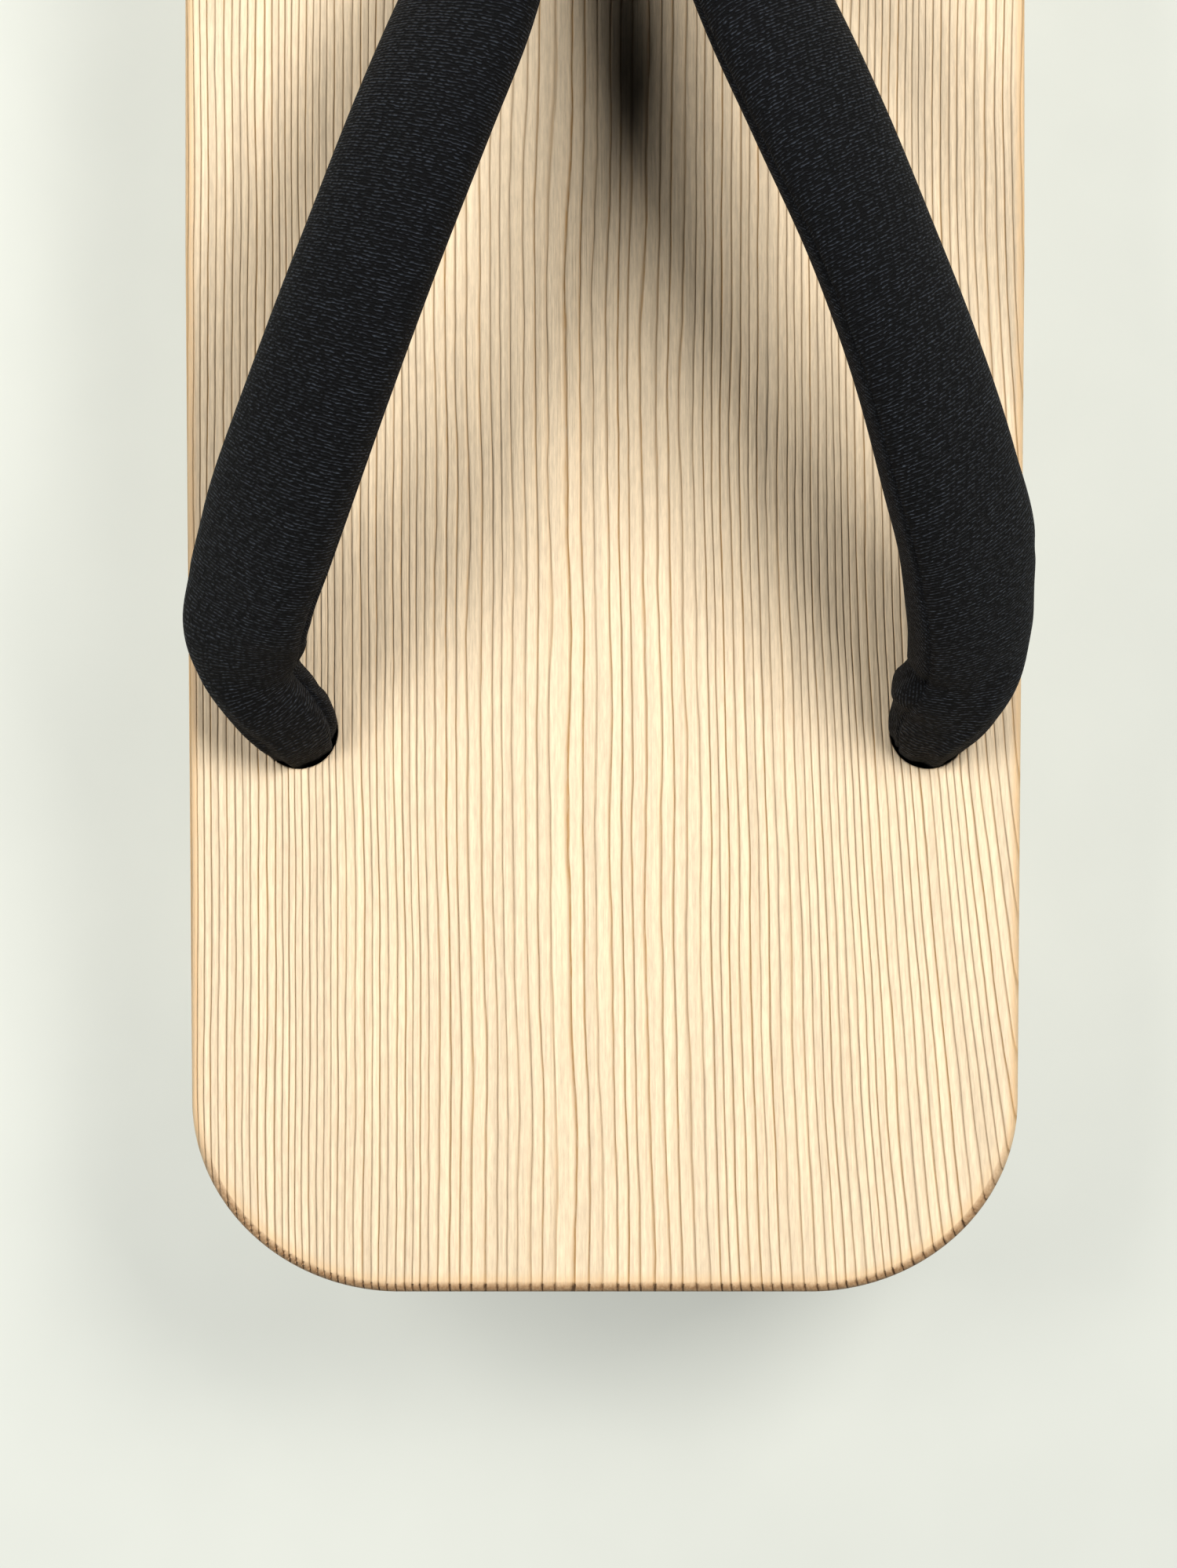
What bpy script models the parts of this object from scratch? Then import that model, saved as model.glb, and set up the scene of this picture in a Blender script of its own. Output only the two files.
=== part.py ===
"""A geta sandal: a cedar deck on two teeth, held to the foot by a stuffed V strap.

Metres, +Z up. The sandal stands on the floor at Z = 0 with its toe along +Y, and the origin
lies under the middle of the deck. Left and right are the wearer's, seen from above.
"""

import math

import bmesh
import bpy
import numpy as np
from mathutils import Vector

# The wooden deck
deck_length = 0.260
deck_width = 0.105
heel_narrowing = 0.0017
deck_thickness = 0.020
corner_across = 0.026
corner_along = 0.024
deck_edge_round = 0.0011
end_rise = 0.007
end_rise_length = 0.026

# The two teeth, let into housings under the deck
tooth_height = 0.028
tooth_thickness = 0.025
tooth_inset = 0.0015
tooth_edge_round = 0.0010
housing_depth = 0.003
front_tooth_to_knot = 0.0045
rear_tooth_to_knot = 0.0037

# The three holes
hole_diameter = 0.0114
rear_hole_from_heel = 0.0702
rear_hole_from_side = 0.01395
rear_hole_shift = 0.00185
front_hole_from_toe = 0.058

# The strap, which is the upper
strap_width = 0.0180
strap_thickness = 0.0094
strap_rise = 0.033
strap_ring_spacing = 0.0036
strap_ring_points = 24
strap_squareness = 2.3

# How far the strap fills its holes, as shares of their diameter
hole_fill_wide = 0.82
hole_fill_thick = 0.643

# The strap's fold, as shares of its thickness, width and rise: its section at the very front,
# the half-thickness that it keeps clear of the toe post's back leg, and its section there
fold_thick = 0.66
fold_side_thick = 0.40
fold_back_wide = 0.80
fold_back_rise = 0.606

# The toe post, a cloth loop round the strap's fold
post_width = 0.0086
post_thickness = 0.0040
post_waist = 0.66
post_side_gap = 0.0005
post_front_gap = 0.0002
post_back_along = 0.0925
post_ring_spacing = 0.0022
post_ring_points = 16
post_squareness = 3.0

# The toe post's two legs in their hole, as shares of its diameter
hole_leg_back = 0.201352
hole_leg_wide = 0.543158
hole_leg_thick = 0.3508772

# The knots under the deck
knot_overhang = 0.0013
knot_height = 0.0085

# The gap that pieces keep where they meet
seat_gap = 0.0003

# Heights and places that follow from the sizes above
deck_bottom = tooth_height
deck_top = tooth_height + deck_thickness
front_hole_y = deck_length / 2 - front_hole_from_toe
rear_hole_y = rear_hole_from_heel - deck_length / 2
rear_hole_out = deck_width / 2 - rear_hole_from_side
knot_diameter = hole_diameter + 2 * knot_overhang
front_tooth_y = front_hole_y - knot_diameter / 2 - front_tooth_to_knot - tooth_thickness / 2
rear_tooth_y = rear_hole_y - knot_diameter / 2 - rear_tooth_to_knot - tooth_thickness / 2
# A knot's rounded top rises into its hole until its flank is one gap from the hole's rim.
knot_flank = math.sqrt(1 - (hole_diameter / knot_diameter) ** 2) * knot_height / 2
knot_middle_z = deck_bottom - seat_gap - knot_flank
cloth_end_z = knot_middle_z + knot_height / 2 + seat_gap
# The fold lies just behind the toe post's front leg, and its two sides part for the back leg.
fold_setback = fold_thick * strap_thickness / 2 + post_thickness / 2 + post_front_gap
fold_y = front_hole_y - fold_setback
strap_run = fold_y - rear_hole_y
fold_half_gap = post_waist * post_width / 2 + post_side_gap + fold_side_thick * strap_thickness
post_reach = fold_setback + post_back_along * strap_run

# One side of the strap from the fold at the toe to its rear hole. "along" is a share of
# strap_run, "fold" of fold_half_gap and "out" of rear_hole_out, which add up to the distance
# from the middle. "rise" is a share of strap_rise above the deck, "wide" and "thick" of the
# strap's own section, and "pinch" says how far the section has shrunk to fit the hole. "roll"
# is how far the section's inner edge is turned up, in degrees.
strap_columns = (
    "along", "fold", "out_left", "out_right", "rise", "wide", "thick", "pinch",
    "roll_left", "roll_right",
)
strap_rows = (
    (0.000, 0.00, 0.000, 0.000, 0.560, 0.70, fold_thick, 0.00, 90, 90),
    (0.008, 0.39, 0.000, 0.000, 0.562, 0.71, 0.67, 0.00, 90, 90),
    (0.029, 0.62, 0.000, 0.000, 0.568, 0.73, 0.69, 0.00, 89, 89),
    (0.083, 1.00, 0.000, 0.000, fold_back_rise, fold_back_wide, 0.75, 0.00, 80, 80),
    (0.204, 1.00, 0.122, 0.126, 0.760, 0.94, 0.92, 0.00, 54, 54),
    (0.321, 0.80, 0.285, 0.320, 0.894, 1.00, 1.00, 0.00, 34, 37),
    (0.434, 0.60, 0.472, 0.516, 0.976, 1.00, 1.00, 0.00, 28, 34),
    (0.544, 0.40, 0.654, 0.703, 1.000, 1.00, 1.00, 0.00, 28, 38),
    (0.652, 0.20, 0.834, 0.873, 0.955, 1.02, 1.00, 0.00, 29, 37),
    (0.759, 0.10, 0.993, 1.003, 0.818, 1.03, 1.00, 0.00, 31, 33),
    (0.823, 0.00, 1.093, 1.079, 0.682, 1.02, 1.00, 0.00, 35, 35),
    (0.871, 0.00, 1.151, 1.099, 0.561, 0.98, 1.00, 0.00, 37, 37),
    (0.903, 0.00, 1.177, 1.106, 0.470, 0.93, 1.00, 0.00, 36, 36),
    (0.936, 0.00, 1.165, 1.098, 0.364, 0.88, 0.99, 0.10, 32, 32),
    (0.971, 0.00, 1.089, 1.058, 0.227, 0.83, 1.00, 0.35, 24, 24),
    (0.993, 0.00, 1.025, 1.008, 0.100, 0.90, 1.00, 0.80, 12, 12),
    (1.000, 0.00, 1.000, 1.000, 0.000, 0.92, 1.00, 1.00, 4, 4),
)
# Below the deck's top face the strap drops straight down its hole to the knot: shares of that
# depth, and of the hole's diameter.
strap_drop_columns = ("depth", "wide", "thick")
strap_drop_rows = (
    (0.20, 0.74, 0.595),
    (0.60, 0.69, 0.545),
    (1.00, 0.66, 0.510),
)

# The toe post runs up behind the fold, over it and down in front of it. "back" is a share of
# post_reach, measured backwards from the front hole's middle, "up" of post_rise above the deck,
# and "wide" of post_width. The rows at the deck's top take their place and section from the hole.
post_rise = (
    fold_back_rise * strap_rise + fold_back_wide * strap_width / 2 + post_thickness / 2
)
post_columns = ("back", "up", "wide")
post_rows = (
    (0.135, 0.00, 0.72),
    (0.310, 0.10, 0.72),
    (0.700, 0.20, 0.68),
    (0.980, 0.36, post_waist),
    (1.080, 0.55, post_waist),
    (1.085, 0.75, 0.68),
    (0.990, 0.94, 0.83),
    (0.720, 1.01, 1.00),
    (0.400, 0.975, 1.02),
    (0.130, 0.91, 1.00),
    (0.005, 0.76, 0.94),
    (-0.035, 0.54, 0.90),
    (-0.075, 0.28, 0.84),
    (-0.135, 0.00, 0.72),
)

wood_colour = (0.905, 0.760, 0.560, 1.0)
tooth_colour = (0.860, 0.690, 0.480, 1.0)
strap_colour = (0.014, 0.015, 0.017, 1.0)
post_colour = (0.020, 0.021, 0.024, 1.0)
cord_colour = (0.120, 0.110, 0.095, 1.0)


def clear_scene():
    for old in list(bpy.data.objects):
        bpy.data.objects.remove(old, do_unlink=True)


def new_collection(name):
    collection = bpy.data.collections.new(name)
    bpy.context.scene.collection.children.link(collection)
    return collection


def new_material(name, colour, roughness):
    material = bpy.data.materials.new(name)
    material.use_nodes = True
    shader = material.node_tree.nodes["Principled BSDF"]
    shader.inputs["Base Color"].default_value = colour
    shader.inputs["Roughness"].default_value = roughness
    shader.inputs["Metallic"].default_value = 0.0
    material.diffuse_color = colour
    return material


def place(target, name, collection, material=None):
    """Names an object, puts it in one collection only and gives it its material."""
    target.name = name
    for old in list(target.users_collection):
        old.objects.unlink(target)
    collection.objects.link(target)
    if material is not None:
        target.data.materials.clear()
        target.data.materials.append(material)
    return target


def make_cutter(target, name, collection):
    place(target, name, collection)
    target.hide_render = True
    target.display_type = "WIRE"
    return target


def block(size, location, tilt=0.0):
    """A box with its scale applied, tilted about X."""
    bpy.ops.mesh.primitive_cube_add(size=1.0, location=location, rotation=(tilt, 0.0, 0.0))
    box = bpy.context.active_object
    box.scale = size
    bpy.ops.object.transform_apply(location=False, rotation=False, scale=True)
    return box


def cut(target, cutter):
    boolean = target.modifiers.new("cut_" + cutter.name, "BOOLEAN")
    boolean.operation = "DIFFERENCE"
    boolean.solver = "EXACT"
    boolean.object = cutter


def round_edges(target, width, segments, smallest_angle):
    bevel = target.modifiers.new("edge_round", "BEVEL")
    bevel.width = width
    bevel.segments = segments
    bevel.limit_method = "ANGLE"
    bevel.angle_limit = math.radians(smallest_angle)


def deck_outline(points_per_corner):
    """The deck's outline, anticlockwise: a quarter ellipse at each corner of a tapering board."""
    outline = []
    for corner in range(4):
        side = 1 if corner in (0, 1) else -1
        end = 1 if corner in (1, 2) else -1
        half_width = (deck_width - (heel_narrowing if end < 0 else 0.0)) / 2
        middle_x = side * (half_width - corner_across)
        middle_y = end * (deck_length / 2 - corner_along)
        start = math.radians(90 * corner - 90)
        for step in range(points_per_corner + 1):
            angle = start + math.radians(90) * step / points_per_corner
            x = middle_x + corner_across * math.cos(angle)
            y = middle_y + corner_along * math.sin(angle)
            outline.append((x, y))
        if corner in (0, 2):
            outline.append((side * deck_width / 2, 0.0))
    return outline


def flat_board(outline, thickness, middle_z):
    """A board of one outline: a filled flat curve, made a mesh with its two faces whole."""
    curve = bpy.data.curves.new("board_outline", "CURVE")
    curve.dimensions = "2D"
    curve.fill_mode = "BOTH"
    curve.extrude = thickness / 2
    spline = curve.splines.new("POLY")
    spline.points.add(len(outline) - 1)
    for point, (x, y) in zip(spline.points, outline):
        point.co = (x, y, 0.0, 1.0)
    spline.use_cyclic_u = True
    guide = bpy.data.objects.new("board_outline", curve)
    guide.location.z = middle_z
    bpy.context.scene.collection.objects.link(guide)
    bpy.context.view_layer.update()
    evaluated = guide.evaluated_get(bpy.context.evaluated_depsgraph_get())
    mesh = bpy.data.meshes.new_from_object(evaluated)
    board = bpy.data.objects.new("board", mesh)
    board.matrix_world = guide.matrix_world.copy()
    bpy.context.scene.collection.objects.link(board)
    bpy.data.objects.remove(guide, do_unlink=True)
    edit = bmesh.new()
    edit.from_mesh(mesh)
    bmesh.ops.remove_doubles(edit, verts=edit.verts, dist=0.00001)
    bmesh.ops.dissolve_limit(
        edit, angle_limit=math.radians(0.5), verts=edit.verts, edges=edit.edges
    )
    bmesh.ops.recalc_face_normals(edit, faces=edit.faces)
    edit.to_mesh(mesh)
    edit.free()
    return board


def through_hole(name, x, y, collection):
    bpy.ops.mesh.primitive_cylinder_add(
        vertices=32, radius=hole_diameter / 2, depth=deck_thickness * 2,
        location=(x, y, deck_bottom + deck_thickness / 2),
    )
    return make_cutter(bpy.context.active_object, name, collection)


def rear_hole_x(side):
    return rear_hole_shift + side * rear_hole_out


def end_bevel(name, end, collection):
    """A tilted block that thins the deck's underside towards one end."""
    slope = math.atan2(end_rise, end_rise_length)
    block_length = end_rise_length * 2.4
    block_height = 0.03
    start_y = deck_length / 2 - end_rise_length
    along = Vector((0.0, math.cos(slope), math.sin(slope)))
    down = Vector((0.0, math.sin(slope), -math.cos(slope)))
    middle = Vector((0.0, start_y, deck_bottom)) + along * block_length / 2
    middle += down * block_height / 2
    cutter = block(
        (deck_width * 1.2, block_length, block_height),
        (0.0, end * middle.y, middle.z),
        tilt=end * slope,
    )
    return make_cutter(cutter, name, collection)


def build_deck(parts, cutters, material):
    deck = flat_board(deck_outline(14), deck_thickness, deck_bottom + deck_thickness / 2)
    place(deck, "deck", parts, material)
    round_edges(deck, deck_edge_round, 2, 50)
    for end, name in ((1, "toe_bevel"), (-1, "heel_bevel")):
        cut(deck, end_bevel(name, end, cutters))
    housing_size = (deck_width * 1.2, tooth_thickness + 2 * seat_gap, housing_depth * 2)
    for name, middle_y in (("front_housing", front_tooth_y), ("rear_housing", rear_tooth_y)):
        housing = block(housing_size, (0.0, middle_y, deck_bottom))
        cut(deck, make_cutter(housing, name, cutters))
    cut(deck, through_hole("front_hole", 0.0, front_hole_y, cutters))
    cut(deck, through_hole("left_hole", rear_hole_x(-1), rear_hole_y, cutters))
    cut(deck, through_hole("right_hole", rear_hole_x(1), rear_hole_y, cutters))


def build_tooth(name, middle_y, parts, material):
    height = tooth_height + housing_depth - seat_gap
    width = deck_width - heel_narrowing - 2 * tooth_inset
    tooth = block((width, tooth_thickness, height), (0.0, middle_y, height / 2))
    place(tooth, name, parts, material)
    round_edges(tooth, tooth_edge_round, 2, 50)


def smooth_through(rows, spacing):
    """Samples of a smooth curve through rows, whose first three values are a place.

    Each stretch is a Hermite curve, and its slopes are weighed by the distances beside it.
    """
    rows = [np.array(row, dtype=float) for row in rows]
    gaps = [np.linalg.norm((b - a)[:3]) for a, b in zip(rows, rows[1:])]
    slopes = [(rows[1] - rows[0]) / gaps[0]]
    for before, after, a, b, c in zip(gaps, gaps[1:], rows, rows[1:], rows[2:]):
        slopes.append(((b - a) / before * after + (c - b) / after * before) / (before + after))
    slopes.append((rows[-1] - rows[-2]) / gaps[-1])
    samples = []
    for gap, a, b, slope_a, slope_b in zip(gaps, rows, rows[1:], slopes, slopes[1:]):
        steps = max(1, round(gap / spacing))
        for step in range(steps):
            t = step / steps
            samples.append(
                a * (2 * t**3 - 3 * t**2 + 1)
                + slope_a * gap * (t**3 - 2 * t**2 + t)
                + b * (3 * t**2 - 2 * t**3)
                + slope_b * gap * (t**3 - t**2)
            )
    samples.append(rows[-1])
    return samples


def section_point(angle, squareness):
    """A point of a rounded section that fills a box from -1 to 1 both ways."""
    across = math.copysign(abs(math.cos(angle)) ** (2 / squareness), math.cos(angle))
    through = math.copysign(abs(math.sin(angle)) ** (2 / squareness), math.sin(angle))
    return across, through


def loft(name, rings, collection, material):
    """One closed body through rings of equally many points."""
    edit = bmesh.new()
    lines = [[edit.verts.new(point) for point in ring] for ring in rings]
    count = len(lines[0])
    for ring, following in zip(lines, lines[1:]):
        for i in range(count):
            j = (i + 1) % count
            edit.faces.new((ring[i], ring[j], following[j], following[i]))
    edit.faces.new(list(reversed(lines[0])))
    edit.faces.new(lines[-1])
    bmesh.ops.recalc_face_normals(edit, faces=edit.faces)
    mesh = bpy.data.meshes.new(name)
    edit.to_mesh(mesh)
    edit.free()
    body = bpy.data.objects.new(name, mesh)
    place(body, name, collection, material)
    mesh.shade_smooth()
    mesh.set_sharp_from_angle(angle=math.radians(50))
    return body


def strap_side(side):
    """Rows (x, y, z, width, thickness, roll) of one side, from the fold to under the deck."""
    rows = []
    for values in strap_rows:
        row = dict(zip(strap_columns, values))
        hand = "left" if side < 0 else "right"
        free = 1.0 - row["pinch"]
        wide = free * row["wide"] * strap_width + row["pinch"] * hole_fill_wide * hole_diameter
        thick = free * row["thick"] * strap_thickness
        thick += row["pinch"] * hole_fill_thick * hole_diameter
        rows.append((
            side * (row["fold"] * fold_half_gap + row["out_" + hand] * rear_hole_out)
            + row["along"] * rear_hole_shift,
            fold_y - row["along"] * strap_run,
            deck_top + row["rise"] * strap_rise,
            wide,
            thick,
            row["roll_" + hand],
        ))
    last_roll = rows[-1][5]
    for values in strap_drop_rows:
        row = dict(zip(strap_drop_columns, values))
        rows.append((
            rear_hole_x(side),
            rear_hole_y,
            deck_top - row["depth"] * (deck_top - cloth_end_z),
            row["wide"] * hole_diameter,
            row["thick"] * hole_diameter,
            last_roll,
        ))
    return rows


def strap_rings():
    """Rings of the whole strap, from the left hole round the fold to the right hole."""
    left = strap_side(-1)
    right = strap_side(1)
    samples = smooth_through(left[::-1] + right[1:], strap_ring_spacing)
    places = [Vector(sample[:3]) for sample in samples]
    last = len(places) - 1
    inwards = []
    for i in range(last + 1):
        run = places[min(i + 1, last)] - places[max(i - 1, 0)]
        heading = Vector((run.x, run.y, 0.0))
        steep = heading.length < 0.30 * run.length
        inwards.append(None if steep else Vector((heading.y, -heading.x, 0.0)).normalized())
    # Where the strap drops down its hole, it keeps the heading that it had above the deck.
    known = [i for i, inward in enumerate(inwards) if inward is not None]
    for i in range(last + 1):
        if inwards[i] is None:
            inwards[i] = inwards[known[0]] if i < known[0] else inwards[known[-1]]
    rings = []
    for i, sample in enumerate(samples):
        run = (places[min(i + 1, last)] - places[max(i - 1, 0)]).normalized()
        roll = math.radians(sample[5])
        wide = inwards[i] * math.cos(roll) + Vector((0.0, 0.0, math.sin(roll)))
        wide = (wide - run * wide.dot(run)).normalized()
        face = wide.cross(run).normalized()
        ring = []
        for k in range(strap_ring_points):
            angle = 2 * math.pi * k / strap_ring_points
            across, through = section_point(angle, strap_squareness)
            ring.append(
                places[i] + wide * (across * sample[3] / 2) + face * (through * sample[4] / 2)
            )
        rings.append(ring)
    return rings


def post_rings():
    """Rings of the toe post's loop, from under the deck, round the fold and down again."""
    rows = []
    for values in post_rows:
        row = dict(zip(post_columns, values))
        rows.append((
            0.0,
            front_hole_y - row["back"] * post_reach,
            deck_top + row["up"] * post_rise,
            row["wide"] * post_width,
            post_thickness,
        ))
    leg_wide = hole_leg_wide * hole_diameter
    leg_thick = hole_leg_thick * hole_diameter
    for end, side in ((0, -1), (-1, 1)):
        leg_y = front_hole_y + side * hole_leg_back * hole_diameter
        rows[end] = (0.0, leg_y, deck_top, leg_wide, leg_thick)
    for end, at in ((0, 0), (-1, len(rows) + 1)):
        rows.insert(at, (0.0, rows[end][1], cloth_end_z, leg_wide, leg_thick))
    samples = smooth_through(rows, post_ring_spacing)
    places = [Vector(sample[:3]) for sample in samples]
    last = len(places) - 1
    across_axis = Vector((1.0, 0.0, 0.0))
    rings = []
    for i, sample in enumerate(samples):
        run = (places[min(i + 1, last)] - places[max(i - 1, 0)]).normalized()
        face = across_axis.cross(run).normalized()
        ring = []
        for k in range(post_ring_points):
            angle = 2 * math.pi * k / post_ring_points
            across, through = section_point(angle, post_squareness)
            ring.append(
                places[i]
                + across_axis * (across * sample[3] / 2)
                + face * (through * sample[4] / 2)
            )
        rings.append(ring)
    return rings


def build_knot(name, x, y, parts, material):
    bpy.ops.mesh.primitive_uv_sphere_add(
        segments=20, ring_count=10, radius=knot_diameter / 2, location=(x, y, knot_middle_z)
    )
    knot = bpy.context.active_object
    knot.scale = (1.0, 1.0, knot_height / knot_diameter)
    bpy.ops.object.transform_apply(location=False, rotation=False, scale=True)
    place(knot, name, parts, material)
    knot.data.shade_smooth()


def main():
    clear_scene()
    parts = new_collection("geta_sandal")
    cutters = new_collection("geta_sandal_cutters")
    wood = new_material("cedar_deck", wood_colour, 0.60)
    tooth_wood = new_material("cedar_tooth", tooth_colour, 0.62)
    cloth = new_material("crepe_strap", strap_colour, 0.78)
    post_cloth = new_material("toe_post_cloth", post_colour, 0.80)
    cord = new_material("knot_cord", cord_colour, 0.85)
    build_deck(parts, cutters, wood)
    build_tooth("front_tooth", front_tooth_y, parts, tooth_wood)
    build_tooth("rear_tooth", rear_tooth_y, parts, tooth_wood)
    loft("strap", strap_rings(), parts, cloth)
    loft("toe_post", post_rings(), parts, post_cloth)
    build_knot("knot_left", rear_hole_x(-1), rear_hole_y, parts, cord)
    build_knot("knot_right", rear_hole_x(1), rear_hole_y, parts, cord)
    build_knot("knot_front", 0.0, front_hole_y, parts, cord)


main()
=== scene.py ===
"""The looks of a geta sandal: brushed cedar, a stuffed black crepe strap and tied cords.

Metres, +Z up, the toe along +Y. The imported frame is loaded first, and every piece is made in it.
"""

import math

import bmesh
import bpy
import numpy as np
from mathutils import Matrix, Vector


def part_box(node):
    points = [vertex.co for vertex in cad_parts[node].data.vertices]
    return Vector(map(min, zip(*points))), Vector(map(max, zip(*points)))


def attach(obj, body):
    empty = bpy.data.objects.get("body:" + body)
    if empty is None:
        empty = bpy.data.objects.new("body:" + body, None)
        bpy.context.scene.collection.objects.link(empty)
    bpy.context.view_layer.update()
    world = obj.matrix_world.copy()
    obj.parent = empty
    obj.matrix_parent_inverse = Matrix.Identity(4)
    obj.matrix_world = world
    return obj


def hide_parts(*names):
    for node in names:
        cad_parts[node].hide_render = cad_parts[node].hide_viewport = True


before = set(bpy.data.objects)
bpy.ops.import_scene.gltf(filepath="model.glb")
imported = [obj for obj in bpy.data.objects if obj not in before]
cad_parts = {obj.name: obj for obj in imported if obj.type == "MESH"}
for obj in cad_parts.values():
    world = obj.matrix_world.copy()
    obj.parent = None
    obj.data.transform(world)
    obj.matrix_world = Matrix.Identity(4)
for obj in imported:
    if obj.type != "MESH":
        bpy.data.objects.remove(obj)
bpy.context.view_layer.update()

bl_info = {
    "name": "Geta sandal",
    "version": (1, 0, 0),
    "blender": (4, 5, 0),
    "location": "3D View > Sidebar > Geta",
    "description": "Builds a cedar geta with a stuffed strap, and its plain stage",
    "category": "Add Mesh",
}

BODY = "root"

deck_low, deck_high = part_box("deck")
tooth_low, tooth_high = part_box("rear_tooth")
knot_low, knot_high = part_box("knot_left")
knot_right_low, knot_right_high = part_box("knot_right")
knot_front_low, knot_front_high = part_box("knot_front")
front_tooth_low, front_tooth_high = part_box("front_tooth")
post_low, post_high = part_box("toe_post")
knot_left_middle = (knot_low + knot_high) / 2
knot_right_middle = (knot_right_low + knot_right_high) / 2
knot_front_middle = (knot_front_low + knot_front_high) / 2


def length_property(name, description, default):
    return bpy.props.FloatProperty(
        name=name, description=description, default=default, unit="LENGTH",
    )


def colour_property(name, description, default):
    return bpy.props.FloatVectorProperty(
        name=name, description=description, default=default, size=4, min=0.0, max=1.0,
        subtype="COLOR",
    )


class GetaSizes(bpy.types.PropertyGroup):
    """Sizes of the sandal that a user would change, in metres."""

    deck_length: length_property("Deck length", "Heel to toe", deck_high.y - deck_low.y)
    deck_width: length_property(
        "Deck width", "Across the deck at its middle", deck_high.x - deck_low.x
    )
    deck_bottom: length_property(
        "Deck underside", "Height of the deck's underside above the floor", deck_low.z
    )
    deck_top: length_property("Deck top", "Height of the deck's top above the floor", deck_high.z)
    heel_narrowing: length_property(
        "Heel narrowing", "How much narrower the heel is than the toe", 0.0017
    )
    corner_across: length_property(
        "Corner across", "Half-axis of a deck corner across the deck", 0.026
    )
    corner_along: length_property(
        "Corner along", "Half-axis of a deck corner along the deck", 0.024
    )
    rim_round: length_property("Rim round", "Radius of the deck's edges", 0.0011)
    ring_notch: length_property(
        "Ring notch", "Depth of the notch where a late-wood line ends", 0.00032
    )
    end_rise: length_property("End rise", "How far the deck's underside rises at its ends", 0.007)
    end_rise_length: length_property(
        "End rise length", "How far that rise reaches in from the ends", 0.026
    )
    hole_diameter: length_property("Hole diameter", "Diameter of the three strap holes", 0.0096)
    strap_width: length_property("Strap width", "Width of the stuffed strap", 0.0180)
    strap_thickness: length_property("Strap thickness", "Thickness of the stuffed strap", 0.0094)
    strap_rise: length_property("Strap rise", "Height of the strap's middle above the deck", 0.033)
    rear_hole_out: length_property(
        "Rear hole reach", "Half the distance between the rear holes",
        (knot_right_middle.x - knot_left_middle.x) / 2,
    )
    post_width: length_property("Toe post width", "Width of the toe post's band", 0.0086)
    post_thickness: length_property(
        "Toe post thickness", "Thickness of the toe post's band", 0.0040
    )
    left_hole_shift: length_property(
        "Left hole shift", "How far outwards the left hole was drilled", 0.0015
    )
    cord_diameter: length_property(
        "Cord diameter", "Diameter of the cords knotted under the deck", 0.0031
    )


class GetaColours(bpy.types.PropertyGroup):
    """Colours of the sandal's finishes and of its stage, linear."""

    early_wood: colour_property("Early wood", "Pale wood between the lines", (0.86, 0.715, 0.515, 1))
    late_wood: colour_property("Late wood", "The grain's narrow lines", (0.50, 0.31, 0.135, 1))
    wood_tint: colour_property("Wood tint", "Warm tint beside the lines", (0.82, 0.61, 0.37, 1))
    # Scorched end grain, and also the painted shade inside the strap holes.
    scorched_wood_and_hole_shade: colour_property("Rim wood", "End grain at the rim", (0.36, 0.205, 0.098, 1))
    edge_wood: colour_property("Edge wood", "Tint along the long edges", (0.72, 0.45, 0.20, 1))
    strap_cloth: colour_property("Strap cloth", "Crepe on the strap", (0.0011, 0.0015, 0.0024, 1))
    # Painted highlight: the lighter, bluer colour on the ribs' crests stands for the crepe's sheen.
    strap_crest_highlight: colour_property("Strap crest", "Rib crests", (0.046, 0.056, 0.074, 1))
    lint: colour_property("Lint", "Specks of lint on the cloth", (0.30, 0.31, 0.33, 1))
    cord: colour_property("Cord", "Knotted cord under the deck", (0.060, 0.055, 0.048, 1))
    # Painted highlight: the lighter colour on the cord's strand crests stands for its sheen.
    cord_crest_highlight: colour_property("Cord light", "Strand crests of the cord", (0.17, 0.155, 0.13, 1))
    floor: colour_property("Floor", "Plain pale floor", (0.308, 0.320, 0.298, 1))


# How the board's growth rings run. "ring" counts rings: it grows by RINGS_PER_METRE across the
# board, and each wave adds a sine of the place: count, turns per metre along x, y and z, start.
RINGS_PER_METRE = 840.0
RING_TILT = 0.16
FAN_FROM_X = -0.006
FAN_SPAN = 0.058
FAN_FROM_Y = 0.020
FAN_REACH = 0.205
RING_WAVES = (
    (2.95, 13.9, 0.0, 4.0, 0.248),
    (0.20, 76.9, 0.8, 14.0, -0.31),
    (0.10, 189.0, 1.5, 0.0, 0.16),
    (0.26, 2.2, 4.6, 6.0, 0.06),
    (0.13, 15.0, 14.0, 0.0, 0.32),
    (0.05, 41.0, 31.0, 0.0, 0.11),
)
# Shares of a ring at which its dark line begins, is full, and falls off.
LINE_RISE, LINE_FULL, LINE_FALL = 0.70, 0.93, 0.962


def ring_count(place):
    """Growth rings crossed at places (an array of x, y, z): the shader's sum without its wobble."""
    x, y, z = place[..., 0], place[..., 1], place[..., 2]
    right = np.maximum(x - FAN_FROM_X, 0.0) / FAN_SPAN
    back = np.maximum(FAN_FROM_Y - y, 0.0)
    across = x - FAN_REACH * right**2 * back**1.5 + RING_TILT * z
    count = across * RINGS_PER_METRE
    for amount, per_x, per_y, per_z, start in RING_WAVES:
        turn = per_x * across + per_y * y + per_z * z + start
        count = count + amount * np.sin(2 * math.pi * turn)
    return count


def line_strength(count):
    """1 in the middle of a late-wood line and 0 between lines."""
    part = count - np.floor(count)
    rise = np.clip((part - LINE_RISE) / (LINE_FULL - LINE_RISE), 0, 1)
    fall = np.clip((1.0 - part) / (1.0 - LINE_FALL), 0, 1)
    return rise**2 * (3 - 2 * rise) * fall


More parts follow.
